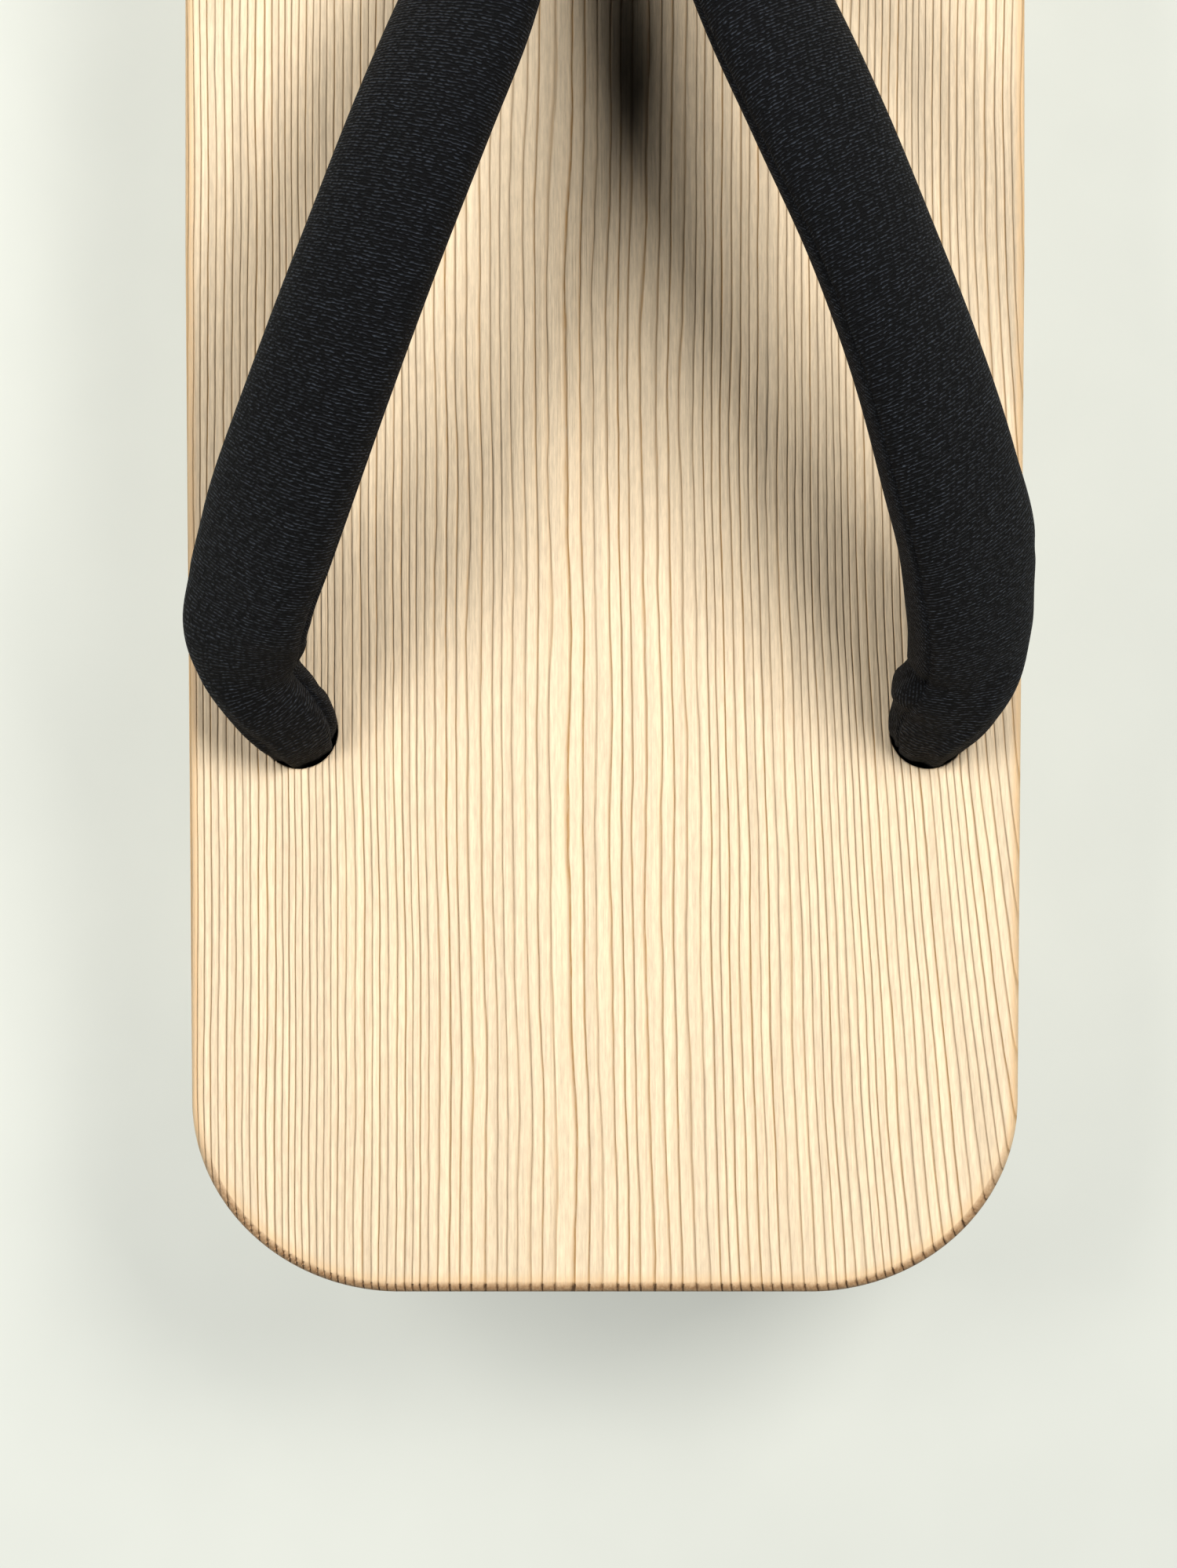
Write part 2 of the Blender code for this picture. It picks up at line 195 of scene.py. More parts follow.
# The grain that the shader draws on and between those lines. Scales are per metre along x, y and
# z, and the wobble is in rings.
WOBBLE_SCALES, WOBBLE_RINGS = (520.0, 70.0, 1.0), 0.36
FIBRE_SCALES = (3600.0, 420.0, 3600.0)
BROAD_SCALES = (160.0, 14.0, 160.0)
STREAK_SCALES = (2100.0, 34.0, 900.0)
LINE_LEAST, LINE_VARIES = 0.27, 0.68
DOME_SHIFT, DOME_POWER = 0.085, 6.0
WOOD_RELIEF = 0.00017
PIT_COLOUR = (0.06, 0.032, 0.014, 1)

# Weaves: ribs per metre along the cloth, their slant, their waviness, and threads per metre round.
WEAVE_INPUTS = ("Ribs Per Metre", "Slant", "Waviness", "Threads Per Metre")
CREPE_WEAVE = (2500.0, 0.12, 1.15, 1300.0)
LINING_WEAVE = (2000.0, -1.1, 0.3, 3600.0)
TWILL_WEAVE = (2300.0, 0.9, 0.8, 2300.0)
CORD_WEAVE = (900.0, 1.0, 0.35, 2600.0)
LINT_SCALE, LINT_ABOVE = 260.0, 0.94


class NodeSheet:
    """Adds nodes to one tree and links them, so that a material reads as a list of steps."""

    def __init__(self, tree):
        self.tree = tree

    def add(self, kind, inputs=(), **settings):
        made = self.tree.nodes.new(kind)
        for name, value in settings.items():
            setattr(made, name, value)
        for key, value in dict(inputs).items():
            self.feed(made.inputs[key], value)
        return made

    def feed(self, socket, value):
        if isinstance(value, bpy.types.NodeSocket):
            self.tree.links.new(value, socket)
        else:
            socket.default_value = value

    def math(self, operation, *values, clamp=False):
        made = self.add("ShaderNodeMath", operation=operation, use_clamp=clamp)
        for socket, value in zip(made.inputs, values):
            self.feed(socket, value)
        return made.outputs[0]

    def times(self, product, *others):
        for other in others:
            product = self.math("MULTIPLY", product, other)
        return product

    def times_plus(self, value, factor, added):
        return self.math("MULTIPLY_ADD", value, factor, added)

    def sine(self, turns):
        return self.math("SINE", self.times(turns, 2 * math.pi))

    def smooth(self, value, low, high, to_low=0.0, to_high=1.0):
        given = {"Value": value, "From Min": low, "From Max": high}
        given.update({"To Min": to_low, "To Max": to_high})
        made = self.add("ShaderNodeMapRange", given, interpolation_type="SMOOTHSTEP")
        return made.outputs["Result"]

    def mix(self, share, first, second, blend="MIX"):
        given = {0: share, 6: first, 7: second}
        return self.add("ShaderNodeMix", given, data_type="RGBA", blend_type=blend).outputs[2]

    def shaded(self, colour, shade):
        grey = self.add("ShaderNodeCombineColor", {"Red": shade, "Green": shade, "Blue": shade})
        return self.mix(1.0, colour, grey.outputs[0], "MULTIPLY")

    def split(self, vector):
        return tuple(self.add("ShaderNodeSeparateXYZ", {"Vector": vector}).outputs)

    def join(self, x, y, z):
        return self.add("ShaderNodeCombineXYZ", {"X": x, "Y": y, "Z": z}).outputs[0]

    def noise(self, vector, scale, detail=2.0, roughness=0.5):
        given = {"Vector": vector, "Scale": scale, "Detail": detail, "Roughness": roughness}
        return self.add("ShaderNodeTexNoise", given).outputs["Fac"]

    def streaks(self, place, scales, detail, roughness):
        """Noise with a scale of its own along each axis."""
        scaled = self.join(*(self.times(part, scale) for part, scale in zip(place, scales)))
        return self.noise(scaled, 1.0, detail, roughness)

    def attribute(self, name, output="Fac"):
        return self.add("ShaderNodeAttribute", attribute_name=name).outputs[output]

    def group(self, tree, inputs):
        return self.add("ShaderNodeGroup", inputs, node_tree=tree).outputs


def new_group(name, vectors, floats):
    """A shader node group with named inputs. Returns its sheet and those inputs."""
    tree = bpy.data.node_groups.new(name, "ShaderNodeTree")
    for kind, labels in (("NodeSocketVector", vectors), ("NodeSocketFloat", floats)):
        for label in labels:
            tree.interface.new_socket(label, in_out="INPUT", socket_type=kind)
    sheet = NodeSheet(tree)
    return sheet, sheet.add("NodeGroupInput").outputs


def close_group(sheet, results):
    """Gives a group its named outputs, and returns its tree."""
    for label in results:
        sheet.tree.interface.new_socket(label, in_out="OUTPUT", socket_type="NodeSocketFloat")
    sheet.add("NodeGroupOutput", results)
    return sheet.tree


def grain_group():
    """Growth rings through a board: the late-wood lines, the fibres and the brushed relief."""
    known = bpy.data.node_groups.get("cedar_grain")
    if known:
        return known
    sheet, given = new_group("cedar_grain", ("Place",), ())
    x, y, z = sheet.split(given["Place"])
    right = sheet.math("MAXIMUM", sheet.math("SUBTRACT", x, FAN_FROM_X), 0.0)
    right = sheet.math("DIVIDE", right, FAN_SPAN)
    back = sheet.math("MAXIMUM", sheet.math("SUBTRACT", FAN_FROM_Y, y), 0.0)
    bent = sheet.times(sheet.math("POWER", back, 1.5), -FAN_REACH)
    across = sheet.math("ADD", x, sheet.times(right, right, bent))
    across = sheet.times_plus(z, RING_TILT, across)
    wobble = sheet.streaks((across, y, z), WOBBLE_SCALES, 2.0, 0.6)
    count = sheet.times(across, RINGS_PER_METRE)
    count = sheet.times_plus(sheet.math("SUBTRACT", wobble, 0.5), WOBBLE_RINGS, count)
    for amount, per_x, per_y, per_z, start in RING_WAVES:
        turn = sheet.times_plus(across, per_x, start)
        turn = sheet.times_plus(y, per_y, turn)
        turn = sheet.times_plus(z, per_z, turn)
        count = sheet.times_plus(sheet.sine(turn), amount, count)
    part = sheet.math("FRACT", count)
    whole = {"W": sheet.math("FLOOR", count)}
    own = sheet.add("ShaderNodeTexWhiteNoise", whole, noise_dimensions="1D").outputs["Value"]
    fibre = sheet.streaks((x, y, z), FIBRE_SCALES, 3.0, 0.62)
    broad = sheet.streaks((x, y, z), BROAD_SCALES, 2.0, 0.5)
    streak = sheet.streaks((across, y, z), STREAK_SCALES, 4.0, 0.7)
    strength = sheet.times(
        sheet.times_plus(own, LINE_VARIES, LINE_LEAST),
        sheet.smooth(fibre, 0.25, 0.62, 0.50, 1.10), sheet.smooth(streak, 0.30, 0.60, 0.70, 1.15),
    )
    line = sheet.times(sheet.smooth(part, LINE_RISE, LINE_FULL), sheet.smooth(part, 1.0, LINE_FALL))
    shifted = sheet.math("FRACT", sheet.math("ADD", count, DOME_SHIFT))
    dome = sheet.math("ABSOLUTE", sheet.times_plus(shifted, 2.0, -1.0))
    height = sheet.math("SUBTRACT", 1.0, sheet.math("POWER", dome, DOME_POWER))
    height = sheet.times_plus(fibre, 0.30, height)
    return close_group(sheet, {
        "Line": sheet.math("MULTIPLY", line, strength, clamp=True),
        "Tint": sheet.times(
            sheet.smooth(part, 0.10, 0.95), sheet.smooth(broad, 0.3, 0.7, 0.3, 1.0)
        ),
        "Fibre": fibre,
        "Height": sheet.times_plus(streak, 0.9, height),
        "Ring Shade": sheet.times_plus(own, 0.4, broad),
        "Streak": streak,
    })


def weave_group():
    """Ribs that cross a cloth, broken into short threads: crepe, twill or plain weave."""
    known = bpy.data.node_groups.get("cloth_ribs")
    if known:
        return known
    sheet, given = new_group("cloth_ribs", (), ("Along", "Around") + WEAVE_INPUTS)
    along, around = given["Along"], given["Around"]
    flat = sheet.join(around, along, 0.0)
    wander = sheet.noise(sheet.join(sheet.times(around, 0.55), along, 0.0), 1150.0, 2.0, 0.6)
    wander = sheet.times(sheet.math("SUBTRACT", wander, 0.5), given["Waviness"])
    turn = sheet.times_plus(around, given["Slant"], along)
    turn = sheet.times_plus(turn, given["Ribs Per Metre"], wander)
    rib = sheet.times_plus(sheet.sine(turn), 0.5, 0.5)
    thread = sheet.times(sheet.times_plus(along, 0.35, around), given["Threads Per Metre"])
    thread = sheet.sine(sheet.times_plus(wander, 0.8, thread))
    thread = sheet.times_plus(thread, 0.5, 0.5)
    broken = sheet.noise(sheet.join(sheet.times(around, 0.4), along, 0.0), 2600.0, 1.0)
    broken = sheet.smooth(broken, 0.30, 0.62, 0.25, 1.0)
    crest = sheet.times(rib, broken, sheet.times_plus(thread, 0.35, 0.65))
    height = sheet.times_plus(sheet.noise(flat, 3400.0, 2.0, 0.7), 0.55, crest)
    speck = sheet.add("ShaderNodeTexVoronoi", {"Vector": flat, "Scale": LINT_SCALE}).outputs
    near = sheet.smooth(speck["Distance"], 0.058, 0.028)
    chosen = sheet.math("GREATER_THAN", sheet.split(speck["Color"])[0], LINT_ABOVE)
    return close_group(sheet, {
        "Height": height,
        # Crest: where the ribs stand highest; cloth_material also lays its painted highlight there.
        "Crest": sheet.smooth(height, 0.60, 1.15),
        "Mottle": sheet.noise(flat, 420.0, 3.0, 0.6),
        "Lint": sheet.times(near, chosen),
    })


def new_material(name, roughness, sheen=0.0, specular=0.5):
    """A material with its shader's plain values set on the shader itself."""
    old = bpy.data.materials.get(name)
    if old:
        bpy.data.materials.remove(old)
    material = bpy.data.materials.new(name)
    material.use_nodes = True
    shader = material.node_tree.nodes["Principled BSDF"]
    shader.inputs["Roughness"].default_value = roughness
    shader.inputs["Specular IOR Level"].default_value = specular
    shader.inputs["Sheen Weight"].default_value = sheen
    shader.inputs["Sheen Roughness"].default_value = 0.45
    return material, NodeSheet(material.node_tree), shader


def finish_shader(sheet, shader, colour, roughness, height, relief):
    """Feeds a shader its colour and its roughness, and its relief in metres as a bump."""
    bump = sheet.add("ShaderNodeBump", {"Strength": 1.0, "Distance": relief, "Height": height})
    sheet.feed(shader.inputs["Base Color"], colour)
    sheet.feed(shader.inputs["Roughness"], roughness)
    sheet.feed(shader.inputs["Normal"], bump.outputs[0])


def wood_material(name, colours, axes="XYZ", shift=(0.0, 0.0, 0.0), rim=False):
    """Cedar. axes says which of the object's axes play the board's across, along and up."""
    material, sheet, shader = new_material(name, 0.62)
    place = sheet.add("ShaderNodeTexCoord").outputs["Object"]
    parts = dict(zip("XYZ", sheet.split(place)))
    turned = sheet.join(*(sheet.math("ADD", parts[a], s) for a, s in zip(axes, shift)))
    grain = sheet.group(grain_group(), {"Place": turned})
    line, fibre = grain["Line"], grain["Fibre"]
    tint = sheet.times(grain["Tint"], 0.34)
    colour = sheet.mix(tint, tuple(colours.early_wood), tuple(colours.wood_tint))
    colour = sheet.mix(line, colour, tuple(colours.late_wood))
    colour = sheet.shaded(colour, sheet.times(
        sheet.smooth(fibre, 0.28, 0.72, 0.885, 1.05),
        sheet.smooth(grain["Ring Shade"], 0.25, 1.05, 0.93, 1.03),
        sheet.smooth(grain["Streak"], 0.30, 0.70, 0.86, 1.05),
    ))
    if rim:
        # Scorched end grain at the rim, plus painted shade on the strap holes' walls; the burnt tint
        # and the pits follow it.
        scorch_and_hole_shade, edge = sheet.attribute("rim_scorch_and_hole_shade"), sheet.attribute("edge_tint")
        # A darker, warmer band along the deck's edges.
        edge_band = sheet.times(edge, sheet.smooth(fibre, 0.2, 0.7, 0.55, 1.0), 0.55)
        colour = sheet.mix(edge_band, colour, tuple(colours.edge_wood))
        rough = sheet.noise(place, 2600.0, 3.0, 0.65)
        burnt_and_hole_shade = sheet.times(scorch_and_hole_shade, sheet.smooth(rough, 0.25, 0.7, 0.55, 1.0))
        colour = sheet.mix(burnt_and_hole_shade, colour, tuple(colours.scorched_wood_and_hole_shade))
        pits = sheet.times(scorch_and_hole_shade, sheet.smooth(line, 0.15, 0.6), 0.70)
        colour = sheet.mix(pits, colour, PIT_COLOUR)
    roughness = sheet.smooth(line, 0.0, 1.0, 0.60, 0.72)
    finish_shader(sheet, shader, colour, roughness, grain["Height"], WOOD_RELIEF)
    return material


def cloth_material(name, base, crest, lint, weave, relief, sheen, lining=None):
    """Cloth or cord whose ribs follow the piece's own along and around lengths."""
    material, sheet, shader = new_material(name, 0.80, sheen=sheen, specular=0.22)
    around, along, _ = sheet.split(sheet.attribute("cloth_lie", "Vector"))
    lie = {"Along": along, "Around": around}
    outer = sheet.group(weave_group(), {**lie, **dict(zip(WEAVE_INPUTS, weave))})
    crests, height = outer["Crest"], outer["Height"]
    if lining:
        inner = sheet.group(weave_group(), {**lie, **dict(zip(WEAVE_INPUTS, lining))})
        under = sheet.attribute("lining")
        crests = sheet.mix(under, crests, inner["Crest"])
        height = sheet.mix(under, height, inner["Height"])
    # Painted highlight: the crest colour, lighter than the cloth, is laid on the ribs' crests of
    # crepe and lining.
    share = sheet.times(crests, sheet.smooth(outer["Mottle"], 0.3, 0.7, 0.5, 1.0))
    colour = sheet.mix(share, tuple(base), tuple(crest))
    colour = sheet.mix(outer["Lint"], colour, tuple(lint))
    roughness = sheet.smooth(crests, 0.0, 1.0, 0.86, 0.62)
    finish_shader(sheet, shader, colour, roughness, height, relief)
    return material


def new_object(name, data):
    made = bpy.data.objects.new(name, data)
    bpy.context.scene.collection.objects.link(made)
    return made


def add_piece(name, mesh, slot, *nodes):
    """Adds a finished mesh as a piece that rides the body and stands for CAD nodes."""
    piece = new_object(name, mesh)
    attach(piece, BODY)
    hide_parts(*nodes)
    return piece


def mesh_from(name, points, faces):
    mesh = bpy.data.meshes.new(name)
    mesh.from_pydata([tuple(p) for p in points], [], faces)
    mesh.update()
    mesh.shade_smooth()
    return mesh


def point_values(mesh, name, values, kind="FLOAT"):
    made = mesh.attributes.new(name, kind, "POINT")
    field = "value" if kind == "FLOAT" else "vector"
    made.data.foreach_set(field, np.asarray(values, np.float32).ravel())


def unit(vectors):
    return vectors / np.linalg.norm(vectors, axis=-1, keepdims=True)


def smooth_step(value, low, high):
    share = np.clip((value - low) / (high - low), 0.0, 1.0)
    return share * share * (3 - 2 * share)


def loft_faces(rings, count):
    """Quads between rings of equally many points, and the two ends."""
    base = np.arange(rings - 1)[:, None] * count
    here = base + np.arange(count)[None]
    beside = base + (np.arange(count)[None] + 1) % count
    quads = np.stack((here, beside, beside + count, here + count), axis=2).reshape(-1, 4)
    return quads.tolist() + [
        list(range(count))[::-1], [(rings - 1) * count + k for k in range(count)],
    ]


def loft_mesh(name, points):
    """A closed mesh through points (ring, place round, xyz)."""
    mesh = mesh_from(name, points.reshape(-1, 3), loft_faces(*points.shape[:2]))
    made = bmesh.new()
    made.from_mesh(mesh)
    bmesh.ops.recalc_face_normals(made, faces=made.faces)
    made.to_mesh(mesh)
    made.free()
    mesh.shade_smooth()
    return mesh


# The deck

ACROSS_STEPS = 840
ROUND_STEPS = 4
# Rows of the deck's face, as shares of the way from an end to the other, up to the middle.
END_ROWS = (
    0, 0.0012, 0.0026, 0.0045, 0.007, 0.011, 0.017, 0.026, 0.04, 0.06, 0.085, 0.12, 0.17, 0.24,
    0.32, 0.41,
)
NOTCH_IN_TOP, NOTCH_IN_BOTTOM = 0.3, 0.2
HOLE_EASE, HOLE_SIDES = 0.00025, 72
HOUSING_GAP = 0.0003
SHARP_ANGLE = math.radians(38)


def half_width(y, sizes):
    """Half the deck's width at y: constant towards the toe, narrowing towards the heel."""
    back = np.clip(-y / (sizes.deck_length / 2 - sizes.corner_along), 0.0, 1.0)
    return (sizes.deck_width - sizes.heel_narrowing * back) / 2


def end_line(end, sizes):
    """The deck's rounded end, one rim round inside its outline, evenly spaced left to right."""
    inset = sizes.rim_round
    width = half_width(end * sizes.deck_length / 2, sizes)
    middle_x = width - sizes.corner_across
    middle_y = sizes.deck_length / 2 - sizes.corner_along
    turn = np.linspace(0.0, math.pi / 2, 500)
    x = middle_x + (sizes.corner_across - inset) * np.cos(turn)
    y = middle_y + (sizes.corner_along - inset) * np.sin(turn)
    line = np.concatenate((np.stack((-x, y), 1), np.stack((x, y), 1)[::-1]))
    line[:, 1] *= end
    length = np.concatenate(([0.0], np.cumsum(np.linalg.norm(np.diff(line, axis=0), axis=1))))
    wanted = np.linspace(0.0, length[-1], ACROSS_STEPS + 1)
    return np.stack([np.interp(wanted, length, line[:, k]) for k in (0, 1)], axis=1)


def deck_grid(sizes):
    """Places (row, column, xy) over the deck's face, row 0 on the toe's end."""
    toe, heel = end_line(1, sizes), end_line(-1, sizes)
    rows = np.array(END_ROWS + (0.5,) + tuple(1 - r for r in reversed(END_ROWS)))[:, None, None]
    grid = toe * (1 - rows) + heel * rows
    inset = sizes.rim_round
    ends = [half_width(e * sizes.deck_length / 2, sizes) - inset for e in (1, -1)]
    even = ends[0] * (1 - rows[..., 0]) + ends[1] * rows[..., 0]
    grid[..., 0] *= (half_width(grid[..., 1], sizes) - inset) / even
    return grid


def underside_rise(y, sizes):
    """How far the deck's underside has risen at y towards an end."""
    start = sizes.deck_length / 2 - sizes.end_rise_length
    return np.maximum(np.abs(y) - start, 0.0) / sizes.end_rise_length * sizes.end_rise


def outline_place(x, y, sizes):
    """How far a place lies inside the deck's outline, and how much the rim there is end grain."""
    width = half_width(y, sizes)
    over_x = (np.abs(x) - (width - sizes.corner_across)) / sizes.corner_across
    over_y = (np.abs(y) - (sizes.deck_length / 2 - sizes.corner_along)) / sizes.corner_along
    inside = np.minimum(width - np.abs(x), sizes.deck_length / 2 - np.abs(y))
    corner = (over_x > 0) & (over_y > 0)
    reach = (sizes.corner_across + sizes.corner_along) / 2
    inside = np.where(corner, (1 - np.hypot(over_x, over_y)) * reach, inside)
    end_grain = np.where(over_y > 0, np.maximum(over_y, 0) / np.hypot(np.maximum(over_x, 0),
                         np.maximum(over_y, 1e-6)), 0.0)
    return inside, end_grain


def deck_mesh(sizes):
    """The board before its holes: two faces, rounded rims, and a notch for each line's end."""
    grid = deck_grid(sizes)
    rows, columns = grid.shape[:2]
    index = np.arange(rows * columns).reshape(rows, columns)
    loop = np.concatenate((
        index[0], index[1:-1, -1], index[-1, ::-1], index[-2:0:-1, 0],
    ))
    flat = grid.reshape(-1, 2)
    edge = flat[loop]
    run = unit(np.roll(edge, -1, axis=0) - np.roll(edge, 1, axis=0))
    outward = np.stack((-run[:, 1], run[:, 0]), axis=1)
    top = np.column_stack((flat, np.full(len(flat), sizes.deck_top)))
    low_z = sizes.deck_bottom + underside_rise(flat[:, 1], sizes)
    bottom = np.column_stack((flat, low_z))
    points = [top, bottom]
    start = 2 * len(flat)
    rings = [loop]
    radius = sizes.rim_round
    for low in (False, True):
        steps = range(1, ROUND_STEPS + 1) if not low else range(ROUND_STEPS, 0, -1)
        for step in steps:
            turn = math.pi / 2 * step / ROUND_STEPS
            out = radius * math.sin(turn)
            sunk = radius * (1 - math.cos(turn))
            place = edge + outward * out
            floor = sizes.deck_bottom + underside_rise(place[:, 1], sizes)
            z = floor + sunk if low else np.full(len(place), sizes.deck_top - sunk)
            ring = np.column_stack((place, z))
            _, end_grain = outline_place(place[:, 0], place[:, 1], sizes)
            notch = line_strength(ring_count(ring)) * smooth_step(end_grain, 0.2, 0.7)
            if not low:
                notch *= sizes.ring_notch * math.cos(turn)
                ring[:, :2] -= outward * notch[:, None] * NOTCH_IN_TOP
                ring[:, 2] -= notch
            else:
                notch *= sizes.ring_notch * NOTCH_IN_BOTTOM
                ring[:, :2] -= outward * notch[:, None]
            points.append(ring)
            rings.append(np.arange(start, start + len(loop)))
            start += len(loop)
    rings.append(loop + len(flat))
    cells = np.stack((index[:-1, :-1], index[:-1, 1:], index[1:, 1:], index[1:, :-1]), axis=-1)
    cells = cells.reshape(-1, 4)
    faces = [cells[:, ::-1], cells + len(flat)]
    for upper, lower in zip(rings, rings[1:]):
        walls = np.stack((upper, lower, np.roll(lower, -1), np.roll(upper, -1)), axis=1)
        faces.append(walls[:, ::-1])
    return np.concatenate(points), np.concatenate(faces).tolist()


def hole_cutter(middle, sizes):
    """A closed turned body that cuts a strap hole and eases its two rims."""
    radius, low, high = sizes.hole_diameter / 2, sizes.deck_bottom, sizes.deck_top
    turns = [math.pi / 2 * step / 4 for step in range(5)]
    curve = [(HOLE_EASE * (1 - math.sin(a)), HOLE_EASE * (1 - math.cos(a))) for a in turns]
    profile = [(radius + HOLE_EASE * 2, low - HOLE_EASE)]
    profile += [(radius + out, low + rise) for out, rise in curve]
    profile += [(radius + out, high - rise) for out, rise in reversed(curve)]
    profile.append((radius + HOLE_EASE * 2, high + HOLE_EASE))
    round_turns = [2 * math.pi * k / HOLE_SIDES for k in range(HOLE_SIDES)]
    points = [
        [(middle.x + r * math.cos(a), middle.y + r * math.sin(a), z) for a in round_turns]
        for r, z in profile
    ]
    return new_object("hole", loft_mesh("hole", np.array(points)))


def housing_cutter(low, high, sizes):
    """The shallow housing that a tooth is let into, right across the deck."""
    bpy.ops.mesh.primitive_cube_add(size=1.0)
    cutter = bpy.context.active_object
    cutter.name = "housing"
    depth = high.z - sizes.deck_bottom + HOUSING_GAP
    cutter.scale = (sizes.deck_width * 1.2, high.y - low.y + 2 * HOUSING_GAP, 2 * depth)
    cutter.location = (0.0, (low.y + high.y) / 2, sizes.deck_bottom)
    return cutter


def apply_cuts(target, cutters):
    for cutter in cutters:
        cut = target.modifiers.new("cut", "BOOLEAN")
        cut.operation = "DIFFERENCE"
        cut.solver = "EXACT"
        cut.object = cutter
    bpy.context.view_layer.update()
    mesh = bpy.data.meshes.new_from_object(
        target.evaluated_get(bpy.context.evaluated_depsgraph_get())
    )
    bpy.data.objects.remove(target, do_unlink=True)
    for cutter in cutters:
        bpy.data.objects.remove(cutter, do_unlink=True)
    return mesh


def mesh_points(mesh):
    places = np.empty(len(mesh.vertices) * 3, np.float32)
    mesh.vertices.foreach_get("co", places)
    return places.reshape(-1, 3).astype(float)


class GETA_OT_deck(bpy.types.Operator):
    """Builds the cedar deck with its holes, housings and rims"""

    bl_idname = "geta.deck"
    bl_label = "Build deck"

    def execute(self, context):
        sizes, colours = context.scene.geta_sizes, context.scene.geta_colours
        board = new_object("board", mesh_from("board", *deck_mesh(sizes)))
        left_hole = knot_left_middle - Vector((sizes.left_hole_shift, 0.0, 0.0))
        holes = (left_hole, knot_right_middle, knot_front_middle)
        cutters = [hole_cutter(middle, sizes) for middle in holes]
        cutters.append(housing_cutter(front_tooth_low, front_tooth_high, sizes))
        cutters.append(housing_cutter(tooth_low, tooth_high, sizes))
        mesh = apply_cuts(board, cutters)
        mesh.shade_smooth()
        mesh.set_sharp_from_angle(angle=SHARP_ANGLE)
        place = mesh_points(mesh)
        inside, end_grain = outline_place(place[:, 0], place[:, 1], sizes)
        ends = smooth_step(end_grain, 0.10, 0.62)
        near = 1.0 - smooth_step(inside, 0.00095, 0.00125)
        low = smooth_step(sizes.deck_top - place[:, 2], 0.0, 0.0008)
        scorch_and_hole_shade = ends * np.maximum(near * 0.95, low * 0.85)
        # The hole walls get a tenth of the scorch: painted shade inside the holes, and partly a
        # scorched, soiled rim.
        for middle in holes:
            away = np.hypot(place[:, 0] - middle.x, place[:, 1] - middle.y)
            in_hole = (away < sizes.hole_diameter * 0.53) & (place[:, 2] < sizes.deck_top - 0.00001)
            scorch_and_hole_shade = np.maximum(scorch_and_hole_shade, 0.10 * in_hole)
        tint = (1 - ends) * (1.0 - smooth_step(inside, 0.0006, 0.0016))
        tint = np.maximum(tint, 0.8 * ends * (1.0 - smooth_step(inside, 0.0014, 0.0028)))
        point_values(mesh, "rim_scorch_and_hole_shade", scorch_and_hole_shade)
        point_values(mesh, "edge_tint", tint)
        add_piece("geta_deck", mesh, "deck_wood", "deck")
        mesh.materials.append(wood_material("brushed_cedar", colours, rim=True))
        return {"FINISHED"}


# The strap. The tables are the ones that the frame's strap was made from.

STRAP_COLUMNS = (
    "along", "fold", "out_left", "out_right", "rise", "wide", "thick", "pinch",
    "roll_left", "roll_right",
)
STRAP_ROWS = (
    (0.000, 0.00, 0.000, 0.000, 0.560, 0.70, 0.66, 0.00, 90, 90),
    (0.008, 0.39, 0.000, 0.000, 0.562, 0.71, 0.67, 0.00, 90, 90),
    (0.029, 0.62, 0.000, 0.000, 0.568, 0.73, 0.69, 0.00, 89, 89),
    (0.083, 1.00, 0.000, 0.000, 0.606, 0.80, 0.75, 0.00, 80, 80),
    (0.204, 1.00, 0.122, 0.126, 0.760, 0.94, 0.92, 0.00, 54, 54),
    (0.321, 0.80, 0.285, 0.320, 0.894, 1.00, 1.00, 0.00, 34, 37),
    (0.434, 0.60, 0.472, 0.516, 0.976, 1.00, 1.00, 0.00, 28, 34),
    (0.544, 0.40, 0.654, 0.703, 1.000, 1.00, 1.00, 0.00, 28, 38),
    (0.652, 0.20, 0.834, 0.873, 0.955, 1.02, 1.00, 0.00, 29, 37),
    (0.759, 0.10, 0.993, 1.003, 0.818, 1.03, 1.00, 0.00, 31, 33),
    (0.823, 0.00, 1.093, 1.079, 0.682, 1.02, 1.00, 0.00, 35, 35),
    (0.871, 0.00, 1.151, 1.099, 0.561, 0.98, 1.00, 0.00, 37, 37),
    (0.903, 0.00, 1.177, 1.106, 0.470, 0.93, 1.00, 0.00, 36, 36),
    (0.936, 0.00, 1.165, 1.098, 0.364, 0.88, 0.99, 0.10, 32, 32),
    (0.971, 0.00, 1.089, 1.058, 0.227, 0.83, 1.00, 0.35, 24, 24),
    (0.993, 0.00, 1.025, 1.008, 0.100, 0.90, 1.00, 0.80, 12, 12),
    (1.000, 0.00, 1.000, 1.000, 0.000, 0.92, 1.00, 1.00, 4, 4),
)
STRAP_DROP_ROWS = ((0.12, 0.93, 0.88), (0.60, 0.95, 0.93), (1.00, 0.66, 0.510))
STRAP_RING_STEP = 0.00055
STRAP_RING_POINTS = 96
STRAP_SQUARENESS = 2.3
# How far the strap's ends fill their holes, how much of the left hole's shift its last rows take,
# the strap's share and the gap beside the toe post, and how the cloth is pressed in and pleated.
HOLE_FILL_WIDE, HOLE_FILL_THICK = 0.95, 0.89
LEFT_SHIFT_SHARES = (0.15, 0.6, 1.0)
FOLD_THICK, FOLD_GAP = 0.66, 0.0002
SIDE_THICK, SIDE_GAP = 0.40, 0.0005
KNOT_GAP = 0.0003
POST_WAIST, POST_BACK_ALONG = 0.66, 0.0925
PRESS_LEAN = 0.55
PLEAT_DEPTH, FOLD_PLEAT_DEPTH = 0.014, 0.008

